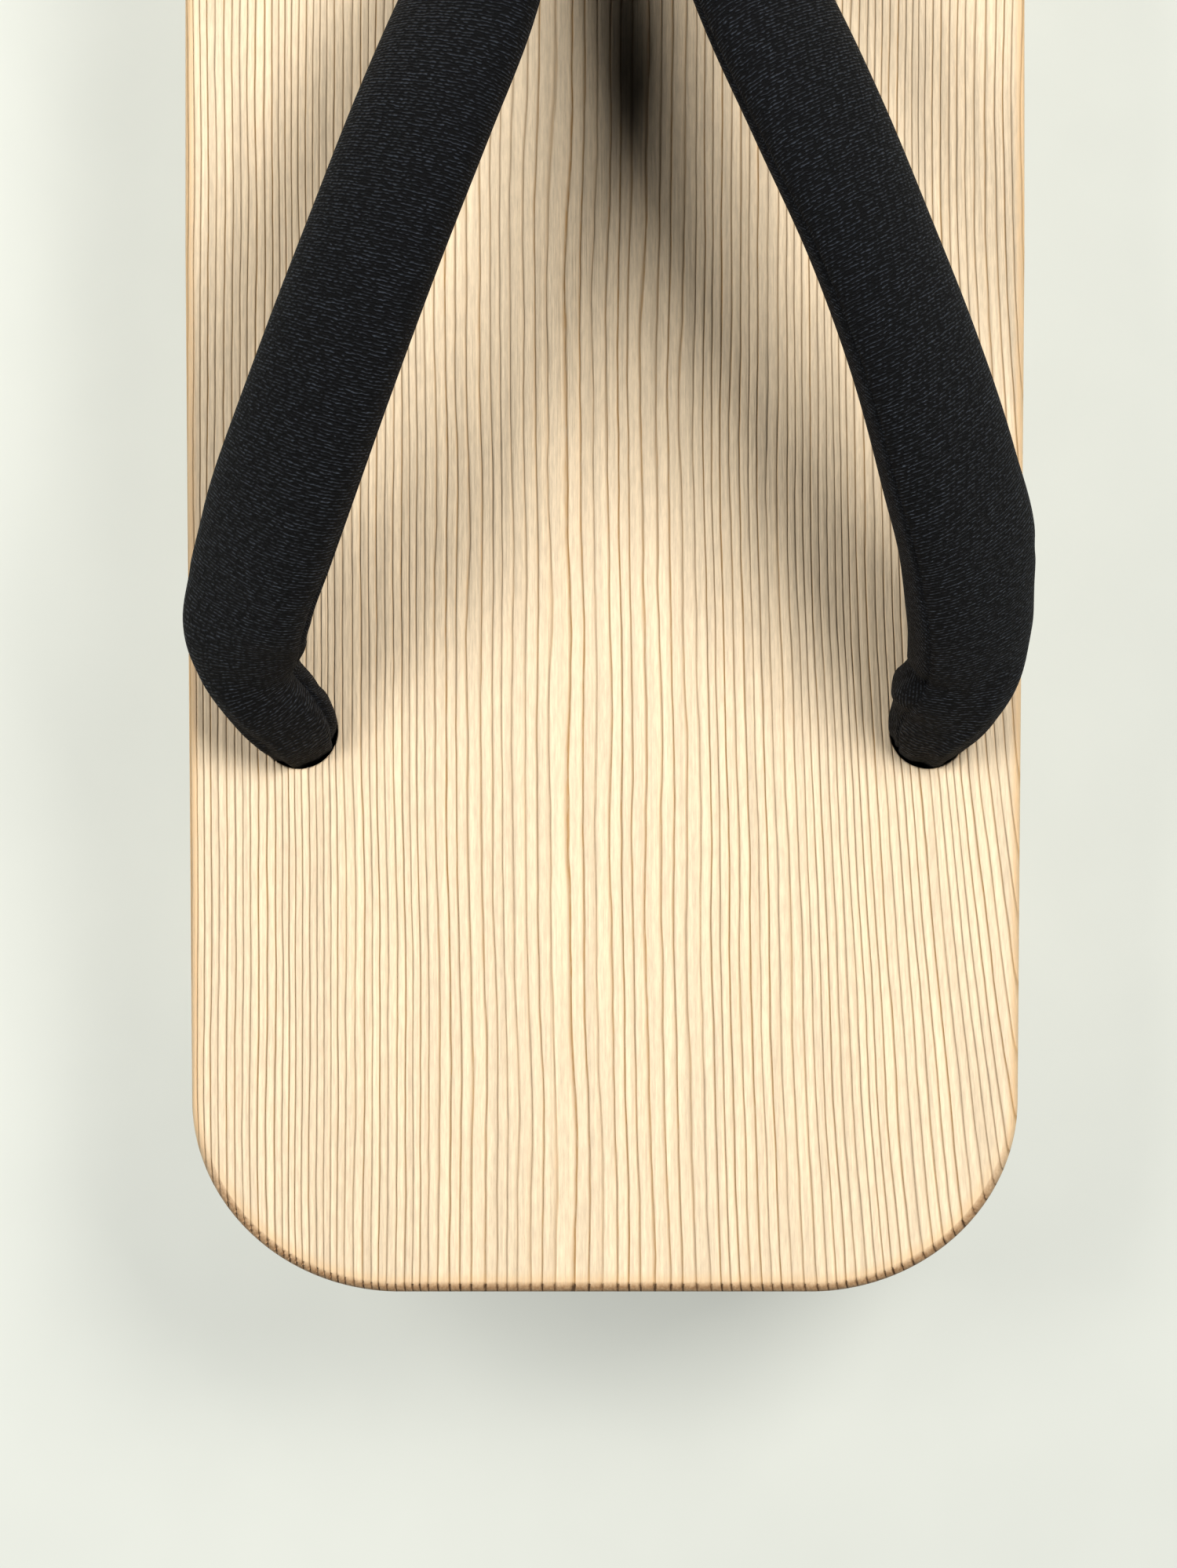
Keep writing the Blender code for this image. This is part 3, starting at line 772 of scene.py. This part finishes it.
# Creases pressed into the strap, or swellings where the depth is below zero: the side, the place
# along as a share of the strap's run, the angle round the section (0 the inner edge, 90 the top,
# 180 the outer edge), how far it reaches along, round in degrees, its slant in degrees round per
# metre along, and its depth. Lengths are shares of the strap's width.
CREASES = (
    ("left", 0.958, 5, 0.24, 55, 0, 0.126),
    ("left", 0.959, 0, 0.07, 34, 0, 0.095),
    ("left", 0.987, 5, 0.11, 50, 0, -0.045),
    ("left", 0.957, 40, 0.08, 26, -1500, 0.040),
    ("left", 0.905, 45, 0.12, 24, 1800, 0.024),
    ("left", 0.935, 110, 0.09, 34, -900, 0.026),
    ("left", 0.870, 70, 0.10, 40, 700, 0.012),
    ("left", 0.950, 172, 0.17, 34, 0, 0.052),
    ("left", 0.820, 178, 0.50, 34, 0, -0.028),
    ("left", 0.985, 120, 0.07, 30, 400, 0.020),
    ("right", 0.938, 12, 0.05, 30, 900, 0.050),
    ("right", 0.967, 8, 0.12, 44, 0, -0.088),
    ("right", 0.945, 60, 0.08, 30, -1200, 0.034),
    ("right", 0.925, 120, 0.10, 30, 900, 0.026),
    ("right", 0.830, 178, 0.34, 34, 0, -0.030),
    ("right", 0.846, 178, 0.05, 18, 0, 0.030),
    ("right", 0.975, 160, 0.14, 40, 0, 0.018),
    ("left", 0.110, 130, 0.14, 40, 900, 0.030),
    ("left", 0.150, 60, 0.12, 40, -700, 0.020),
    ("right", 0.110, 130, 0.14, 40, 900, 0.030),
    ("right", 0.150, 60, 0.12, 40, -700, 0.020),
)
# Where the lining under the strap is sewn to the crepe: shares of the run, and angles round.
SEAM_RUN = (0.0, 0.30, 0.60, 0.80, 0.90, 0.96, 1.00, 1.10)
SEAM_RIGHT = (-8, -10, 2, 14, 26, 40, 52, 60)
SEAM_LEFT = (-8, -16, -16, -14, -4, 22, 44, 60)
SEAM_PRESS, SEAM_DEGREES = 0.00040, 3.4


def smooth_through(rows, spacing):
    """Samples of a smooth curve through rows, whose first three values are a place."""
    rows = [np.array(row, dtype=float) for row in rows]
    gaps = [np.linalg.norm((b - a)[:3]) for a, b in zip(rows, rows[1:])]
    slopes = [(rows[1] - rows[0]) / gaps[0]]
    for before, after, a, b, c in zip(gaps, gaps[1:], rows, rows[1:], rows[2:]):
        slopes.append(((b - a) / before * after + (c - b) / after * before) / (before + after))
    slopes.append((rows[-1] - rows[-2]) / gaps[-1])
    samples = []
    for gap, a, b, slope_a, slope_b in zip(gaps, rows, rows[1:], slopes, slopes[1:]):
        t = (np.arange(max(1, round(gap / spacing))) / max(1, round(gap / spacing)))[:, None]
        samples.append(
            a * (2 * t**3 - 3 * t**2 + 1)
            + slope_a * gap * (t**3 - 2 * t**2 + t)
            + b * (3 * t**2 - 2 * t**3)
            + slope_b * gap * (t**3 - t**2)
        )
    return np.concatenate(samples + [rows[-1][None]])


def fold_sizes(sizes):
    """Places that the strap's and the toe post's tables are shares of."""
    front_y, rear_y = knot_front_middle.y, knot_left_middle.y
    setback = FOLD_THICK * sizes.strap_thickness / 2 + sizes.post_thickness / 2 + FOLD_GAP
    run = front_y - setback - rear_y
    return {
        "front_y": front_y,
        "rear_y": rear_y,
        "shift": (knot_left_middle.x + knot_right_middle.x) / 2,
        "fold_y": front_y - setback,
        "run": run,
        "half_gap": (
            POST_WAIST * sizes.post_width / 2 + SIDE_GAP + SIDE_THICK * sizes.strap_thickness
        ),
        "reach": setback + POST_BACK_ALONG * run,
        "cloth_end": knot_left_middle.z + (knot_high.z - knot_low.z) / 2 + KNOT_GAP,
    }


def strap_side(side, sizes):
    """Rows (x, y, z, width, thickness, roll, along) of one side, from the fold to its knot."""
    at = fold_sizes(sizes)
    hand = "left" if side < 0 else "right"
    rows = []
    for values in STRAP_ROWS:
        row = dict(zip(STRAP_COLUMNS, values))
        pinch, free = row["pinch"], 1.0 - row["pinch"]
        wide = free * row["wide"] * sizes.strap_width
        wide += pinch * HOLE_FILL_WIDE * sizes.hole_diameter
        thick = free * row["thick"] * sizes.strap_thickness
        thick += pinch * HOLE_FILL_THICK * sizes.hole_diameter
        x = side * (row["fold"] * at["half_gap"] + row["out_" + hand] * sizes.rear_hole_out)
        rows.append((
            x + row["along"] * at["shift"], at["fold_y"] - row["along"] * at["run"],
            sizes.deck_top + row["rise"] * sizes.strap_rise, wide, thick,
            row["roll_" + hand], side * row["along"],
        ))
    if side < 0:
        for k, share in zip((-3, -2, -1), LEFT_SHIFT_SHARES):
            rows[k] = (rows[k][0] - share * sizes.left_hole_shift,) + rows[k][1:]
    last = rows[-1]
    for depth, wide, thick in STRAP_DROP_ROWS:
        z = sizes.deck_top - depth * (sizes.deck_top - at["cloth_end"])
        rows.append((
            last[0], at["rear_y"], z, wide * sizes.hole_diameter, thick * sizes.hole_diameter,
            last[5], side * (1.0 + 0.1 * depth),
        ))
    return rows


def section(angles, squareness):
    """Points of a rounded section that fills a box from -1 to 1 both ways."""
    cos, sin = np.cos(angles), np.sin(angles)
    power = 2 / squareness
    return np.sign(cos) * np.abs(cos) ** power, np.sign(sin) * np.abs(sin) ** power


def strap_frames(sizes):
    """The strap's samples with, for each, its middle and its width's and its face's direction."""
    rows = strap_side(-1, sizes)[::-1] + strap_side(1, sizes)[1:]
    samples = smooth_through(rows, STRAP_RING_STEP)
    run = unit(np.gradient(samples[:, :3], axis=0))
    level = np.hypot(run[:, 0], run[:, 1])
    inward = np.column_stack((run[:, 1], -run[:, 0])) / np.maximum(level, 1e-9)[:, None]
    known = np.nonzero(level >= 0.30)[0]
    inward[: known[0]] = inward[known[0]]
    inward[known[-1] + 1 :] = inward[known[-1]]
    roll = np.radians(samples[:, 5])[:, None]
    wide = np.hstack((inward * np.cos(roll), np.sin(roll)))
    wide = unit(wide - run * (wide * run).sum(axis=1)[:, None])
    return samples, wide, np.cross(wide, run)


def crease_depth(along, angle, sizes):
    """How far the cloth is pressed in at shares along the run and angles round the section."""
    at = fold_sizes(sizes)
    total = np.zeros(np.broadcast(along, angle).shape)
    for hand, place, middle, reach, round_reach, slant, depth in CREASES:
        sign = -1 if hand == "left" else 1
        distance = (along * sign - place) * at["run"]
        turn = angle - middle - slant * distance
        turn = (turn + 180.0) % 360.0 - 180.0
        spread = (distance / (reach * sizes.strap_width)) ** 2 + (turn / round_reach) ** 2
        total = total + depth * sizes.strap_width * np.exp(-spread)
    return total


def strap_points(sizes):
    """Points (ring, place round, xyz) of the strap and its cloth's lie at each."""
    samples, wide, face = strap_frames(sizes)
    degrees = -90.0 + 360.0 * np.arange(STRAP_RING_POINTS) / STRAP_RING_POINTS
    across, through = section(np.radians(degrees), STRAP_SQUARENESS)
    half_wide = samples[:, 3:4] / 2
    half_thick = samples[:, 4:5] / 2
    along = samples[:, 6:7]
    pressed = crease_depth(along, degrees[None], sizes)
    pressed = pressed + gather_depth(along, degrees[None], sizes)
    right = np.interp(np.abs(along), SEAM_RUN, SEAM_RIGHT)
    seam = np.where(along > 0, right, np.interp(np.abs(along), SEAM_RUN, SEAM_LEFT))
    past = degrees[None] - seam
    pressed = pressed + SEAM_PRESS * np.exp(-(past / SEAM_DEGREES) ** 2)
    lining = 1.0 - smooth_step(past, -2.0, 1.0)
    lining = np.maximum(lining, smooth_step(degrees[None], 200.0, 206.0))
    direction = across[None, :, None] * wide[:, None] * PRESS_LEAN
    direction = unit(direction + through[None, :, None] * face[:, None])
    points = samples[:, None, :3] + wide[:, None] * (across[None] * half_wide)[..., None]
    points = points + face[:, None] * (through[None] * half_thick)[..., None]
    points = points - direction * pressed[..., None]
    return points, cloth_lie(points), lining


def gather_depth(along, degrees, sizes):
    """Small pleats where each end is drawn into its hole, and at the fold."""
    near_end = smooth_step(np.abs(along), 0.90, 1.0) * (1.0 - smooth_step(np.abs(along), 1.02, 1.1))
    near_fold = 1.0 - smooth_step(np.abs(along), 0.02, 0.14)
    turn = np.radians(degrees)
    pleat = np.sin(7 * turn + 9 * along) * 0.6 + np.sin(11 * turn - 6 * along + 1.0) * 0.4
    fold = np.sin(5 * turn + 40 * along)
    depth = PLEAT_DEPTH * near_end * pleat + FOLD_PLEAT_DEPTH * near_fold * fold
    return sizes.strap_width * depth


def cloth_lie(points):
    """(around, along, 0) in metres for a grid of points (ring, place round, xyz)."""
    steps = np.linalg.norm(np.diff(points, axis=1), axis=2)
    around = np.concatenate((np.zeros((len(points), 1)), np.cumsum(steps, axis=1)), axis=1)
    around -= around[:, -1:] / 2
    middles = points.mean(axis=1)
    run = np.linalg.norm(np.diff(middles, axis=0), axis=1)
    along = np.concatenate(([0.0], np.cumsum(run)))[:, None] * np.ones_like(around)
    return np.stack((around, along, np.zeros_like(along)), axis=2)


class GETA_OT_strap(bpy.types.Operator):
    """Builds the stuffed strap from one rear hole round the toe post to the other"""

    bl_idname = "geta.strap"
    bl_label = "Build strap"

    def execute(self, context):
        sizes, colours = context.scene.geta_sizes, context.scene.geta_colours
        points, lie, lining = strap_points(sizes)
        mesh = loft_mesh("geta_strap", points)
        point_values(mesh, "cloth_lie", lie, "FLOAT_VECTOR")
        point_values(mesh, "lining", lining)
        piece = add_piece("geta_strap", mesh, "strap_cloth", "strap")
        mesh.materials.append(cloth_material(
            "black_crepe", colours.strap_cloth, colours.strap_crest_highlight, colours.lint, CREPE_WEAVE,
            relief=0.00032, sheen=0.02, lining=LINING_WEAVE,
        ))
        return {"FINISHED"}


# The toe post: back is a share of the post's reach behind its hole, up of its rise, wide of its
# width.

POST_ROWS = (
    (0.135, 0.00, 0.72),
    (0.310, 0.10, 0.72),
    (0.700, 0.20, 0.68),
    (0.980, 0.36, 0.66),
    (1.080, 0.55, 0.66),
    (1.085, 0.75, 0.68),
    (0.990, 0.94, 0.83),
    (0.720, 1.01, 1.00),
    (0.400, 0.975, 1.02),
    (0.130, 0.91, 1.00),
    (0.005, 0.76, 0.94),
    (-0.035, 0.54, 0.90),
    (-0.075, 0.28, 0.84),
    (-0.135, 0.00, 0.72),
)
POST_RING_STEP, POST_RING_POINTS, POST_SQUARENESS = 0.0005, 64, 3.0
# Where the loop lies on the strap: shares of the strap's rise and of its width.
POST_OVER_RISE, POST_OVER_WIDE = 0.606, 0.80
# Ripples across the band: depth, length, turn with the place across, and start.
POST_RIPPLES = ((0.00010, 0.0063, 3, 0.0), (0.00007, 0.0031, 5, 1.0))


def post_points(sizes):
    """Points (ring, place round, xyz) of the toe post's loop."""
    at = fold_sizes(sizes)
    rise = POST_OVER_RISE * sizes.strap_rise + POST_OVER_WIDE * sizes.strap_width / 2
    rise += sizes.post_thickness / 2
    rows = [
        (0.0, at["front_y"] - back * at["reach"], sizes.deck_top + up * rise,
         wide * sizes.post_width)
        for back, up, wide in POST_ROWS
    ]
    for end, place in ((0, 0), (-1, len(rows) + 1)):
        rows.insert(place, (0.0, rows[end][1], at["cloth_end"], rows[end][3]))
    samples = smooth_through(rows, POST_RING_STEP)
    places = samples[:, :3]
    across_axis = np.array((1.0, 0.0, 0.0))
    face = np.cross(across_axis[None], unit(np.gradient(places, axis=0)))
    turns = -math.pi / 2 + 2 * math.pi * np.arange(POST_RING_POINTS) / POST_RING_POINTS
    across, through = section(turns, POST_SQUARENESS)
    half_wide = samples[:, 3:4] / 2
    along = np.arange(len(samples))[:, None] * POST_RING_STEP
    ripple = 0.0
    for depth, length, turned, start in POST_RIPPLES:
        turn = 2 * math.pi * along / length + turned * across[None] + start
        ripple = ripple + depth * np.sin(turn)
    depth = sizes.post_thickness / 2 - np.abs(ripple)
    points = places[:, None] + across_axis * (across[None] * half_wide)[..., None]
    return points + face[:, None] * (through[None] * depth)[..., None]


class GETA_OT_post(bpy.types.Operator):
    """Builds the toe post, a cloth loop round the strap's fold"""

    bl_idname = "geta.post"
    bl_label = "Build toe post"

    def execute(self, context):
        sizes, colours = context.scene.geta_sizes, context.scene.geta_colours
        points = post_points(sizes)
        mesh = loft_mesh("geta_toe_post", points)
        point_values(mesh, "cloth_lie", cloth_lie(points), "FLOAT_VECTOR")
        add_piece("geta_toe_post", mesh, "post_cloth", "toe_post")
        mesh.materials.append(cloth_material(
            "toe_post_twill", colours.strap_cloth, colours.strap_crest_highlight, colours.lint, TWILL_WEAVE,
            relief=0.00012, sheen=0.03,
        ))
        return {"FINISHED"}


# The knots: how far a cord's end reaches past its knot, bends, lies apart from the other end and
# drops, as a share of the knot's height, and how thick it is beside the cord.

END_PAST, END_BEND, END_APART, END_DROP, END_THICK = 0.0015, 0.002, 0.001, 0.6, 0.92


def tube(middles, radius, count=20):
    """Points (ring, place round, xyz) of a tube along middles, with a steady frame."""
    run = unit(np.gradient(middles, axis=0))
    side = unit(np.cross(run[0], (0.0, 0.0, 1.0)))
    rings = []
    turns = 2 * math.pi * np.arange(count) / count
    for middle, direction in zip(middles, run):
        side = unit(side - direction * side.dot(direction))
        up = np.cross(side, direction)
        away = np.cos(turns)[:, None] * side + np.sin(turns)[:, None] * up
        rings.append(middle + radius * away)
    return np.array(rings)


def knot_pieces(middle, low, high, turn, sizes):
    """The cord of one knot: a closed overhand turn, and two short ends."""
    radius = sizes.cord_diameter / 2
    flat = ((high.x - low.x) / 2 - radius) / 3.0
    tall = (high.z - low.z) / 2 - radius
    t = np.linspace(0.0, 2 * math.pi, 150)
    loop = np.column_stack((
        flat * (np.sin(t) + 2 * np.sin(2 * t)),
        flat * (np.cos(t) - 2 * np.cos(2 * t)),
        -tall * np.sin(3 * t),
    ))
    cos, sin = math.cos(turn), math.sin(turn)
    spin = np.array(((cos, -sin, 0.0), (sin, cos, 0.0), (0.0, 0.0, 1.0)))
    pieces = [tube(loop @ spin.T + np.array(middle), radius)]
    reach = (high.x - low.x) / 2 + END_PAST
    for side in (1, -1):
        s = np.linspace(0.0, 1.0, 24)
        end = np.column_stack((
            side * reach * s, side * END_BEND * s**2 + END_APART * side,
            -END_APART - tall * END_DROP * s**2,
        ))
        pieces.append(tube(end @ spin.T + np.array(middle), radius * END_THICK))
    return pieces


class GETA_OT_knots(bpy.types.Operator):
    """Builds the three knotted cords that hold the straps under the deck"""

    bl_idname = "geta.knots"
    bl_label = "Build knots"

    def execute(self, context):
        sizes, colours = context.scene.geta_sizes, context.scene.geta_colours
        material = cloth_material(
            "knotted_cord", colours.cord, colours.cord_crest_highlight, colours.lint, CORD_WEAVE,
            relief=0.00022, sheen=0.05,
        )
        places = (
            ("left", knot_left_middle, knot_low, knot_high, 0.5),
            ("right", knot_right_middle, knot_right_low, knot_right_high, 2.4),
            ("front", knot_front_middle, knot_front_low, knot_front_high, 1.2),
        )
        for name, middle, low, high, turn in places:
            points, faces, lies, start = [], [], [], 0
            for rings in knot_pieces(middle, low, high, turn, sizes):
                faces += [[i + start for i in face] for face in loft_faces(*rings.shape[:2])]
                points.append(rings.reshape(-1, 3))
                lies.append(cloth_lie(rings).reshape(-1, 3))
                start += len(points[-1])
            mesh = mesh_from("geta_knot_" + name, np.concatenate(points), faces)
            point_values(mesh, "cloth_lie", np.concatenate(lies), "FLOAT_VECTOR")
            add_piece("geta_knot_" + name, mesh, "knot_cord", "knot_" + name)
            mesh.materials.append(material)
        return {"FINISHED"}


class GETA_OT_teeth(bpy.types.Operator):
    """Finishes the two teeth in plain cedar, their grain running across the deck"""

    bl_idname = "geta.teeth"
    bl_label = "Finish teeth"

    def execute(self, context):
        colours = context.scene.geta_colours
        material = wood_material("tooth_cedar", colours, axes="YXZ", shift=(0.09, 0.03, 0.02))
        for name in ("front_tooth", "rear_tooth"):
            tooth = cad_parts[name]
            tooth.data.materials.clear()
            tooth.data.materials.append(material)
        return {"FINISHED"}


# The stage. Two soft boxes shine on one place, the floor glows like the photo's bright paper, and
# the camera looks straight down. Its lens is worked out from its height over the deck and from
# the size of what the photo shows there, both in millimetres.

LIGHT_AIM, LIGHT_AWAY, LIGHT_SIZE = (0.0, 0.02, 0.05), 0.95, 0.42
LIGHT_COLOUR = (1.0, 0.968, 0.925)
KEY_FROM, KEY_WATTS = (0.44, 0.25, 0.87), 10.2
FILL_FROM, FILL_WATTS = (-0.58, 0.10, 0.86), 6.7
FLOOR_HALF, FLOOR_HEIGHT, FLOOR_GLOW = 1.5, -0.0002, 1.55
SKY_COLOUR, SKY_STRENGTH = (0.96, 0.98, 1.0, 1), 0.015
CAMERA_PLACE = (-0.00206, -0.0665, 0.598)
SENSOR, VIEW_DISTANCE, VIEW_HEIGHT = 36.0, 550.0, 1998.0 * 0.098
VIEW_GAMMA = 0.92


def soft_light(name, direction, watts):
    """A square soft box that shines along a direction onto the sandal."""
    light = bpy.data.lights.new(name, "AREA")
    light.shape = "SQUARE"
    light.size = LIGHT_SIZE
    light.energy = watts
    light.color = LIGHT_COLOUR
    lamp = new_object(name, light)
    away = Vector(direction).normalized()
    lamp.location = Vector(LIGHT_AIM) + away * LIGHT_AWAY
    lamp.rotation_euler = away.to_track_quat("Z", "Y").to_euler()
    return lamp


def floor_material(colours):
    """Plain pale paper with painted light and shade: a touch lighter on its left, darker towards the
    heel.
    """
    material, sheet, shader = new_material("plain_floor", 0.9)
    place = sheet.add("ShaderNodeTexCoord").outputs["Object"]
    x, y, _ = sheet.split(place)
    # Painted light and shade: brighter on the left, darker towards the heel, in the colour and the
    # glow alike.
    shade = sheet.times(
        sheet.smooth(sheet.noise(place, 60.0, 2.0), 0.2, 0.8, 0.99, 1.01),
        sheet.smooth(x, 0.02, -0.05, 1.0, 1.05), sheet.smooth(y, -0.12, -0.17, 1.0, 0.93),
    )
    pale = sheet.shaded(tuple(colours.floor), shade)
    sheet.feed(shader.inputs["Base Color"], pale)
    sheet.feed(shader.inputs["Emission Color"], pale)
    shader.inputs["Emission Strength"].default_value = FLOOR_GLOW
    return material


class GETA_OT_stage(bpy.types.Operator):
    """Builds the plain floor, the lights and the camera over the sandal"""

    bl_idname = "geta.stage"
    bl_label = "Build stage"

    def execute(self, context):
        scene = context.scene
        signs = ((-1, -1), (1, -1), (1, 1), (-1, 1))
        corners = [(x * FLOOR_HALF, y * FLOOR_HALF, FLOOR_HEIGHT) for x, y in signs]
        floor = new_object("floor", mesh_from("floor", corners, [[0, 1, 2, 3]]))
        floor.data.materials.append(floor_material(scene.geta_colours))
        key = soft_light("key", KEY_FROM, KEY_WATTS)
        fill = soft_light("fill", FILL_FROM, FILL_WATTS)
        world = scene.world or bpy.data.worlds.new("world")
        scene.world = world
        world.use_nodes = True
        background = world.node_tree.nodes["Background"]
        background.inputs["Color"].default_value = SKY_COLOUR
        background.inputs["Strength"].default_value = SKY_STRENGTH
        lens = bpy.data.cameras.new("camera")
        lens.sensor_width = SENSOR
        lens.lens = SENSOR * VIEW_DISTANCE / VIEW_HEIGHT
        lens.clip_start, lens.clip_end = 0.01, 10.0
        scene.camera = new_object("camera", lens)
        scene.camera.location = CAMERA_PLACE
        scene.view_settings.view_transform = "Standard"
        scene.view_settings.look = "None"
        scene.view_settings.gamma = VIEW_GAMMA
        return {"FINISHED"}


class GETA_PT_panel(bpy.types.Panel):
    """The sidebar panel that edits the sandal and builds its pieces"""

    bl_idname = "GETA_PT_panel"
    bl_label = "Geta"
    bl_space_type = "VIEW_3D"
    bl_region_type = "UI"
    bl_category = "Geta"

    def draw(self, context):
        layout = self.layout
        for group in (context.scene.geta_sizes, context.scene.geta_colours):
            column = layout.column(align=True)
            for name in group.bl_rna.properties.keys():
                if name not in ("rna_type", "name"):
                    column.prop(group, name)
        for operator in OPERATORS:
            layout.operator(operator.bl_idname)


OPERATORS = (
    GETA_OT_deck, GETA_OT_strap, GETA_OT_post, GETA_OT_knots, GETA_OT_teeth, GETA_OT_stage,
)
CLASSES = (GetaSizes, GetaColours) + OPERATORS + (GETA_PT_panel,)


def register():
    for made in CLASSES:
        bpy.utils.register_class(made)
    bpy.types.Scene.geta_sizes = bpy.props.PointerProperty(type=GetaSizes)
    bpy.types.Scene.geta_colours = bpy.props.PointerProperty(type=GetaColours)


def unregister():
    del bpy.types.Scene.geta_colours
    del bpy.types.Scene.geta_sizes
    for made in reversed(CLASSES):
        bpy.utils.unregister_class(made)


def main():
    register()
    bpy.ops.geta.deck()
    bpy.ops.geta.strap()
    bpy.ops.geta.post()
    bpy.ops.geta.knots()
    bpy.ops.geta.teeth()
    bpy.ops.geta.stage()


if __name__ == "__main__":
    main()
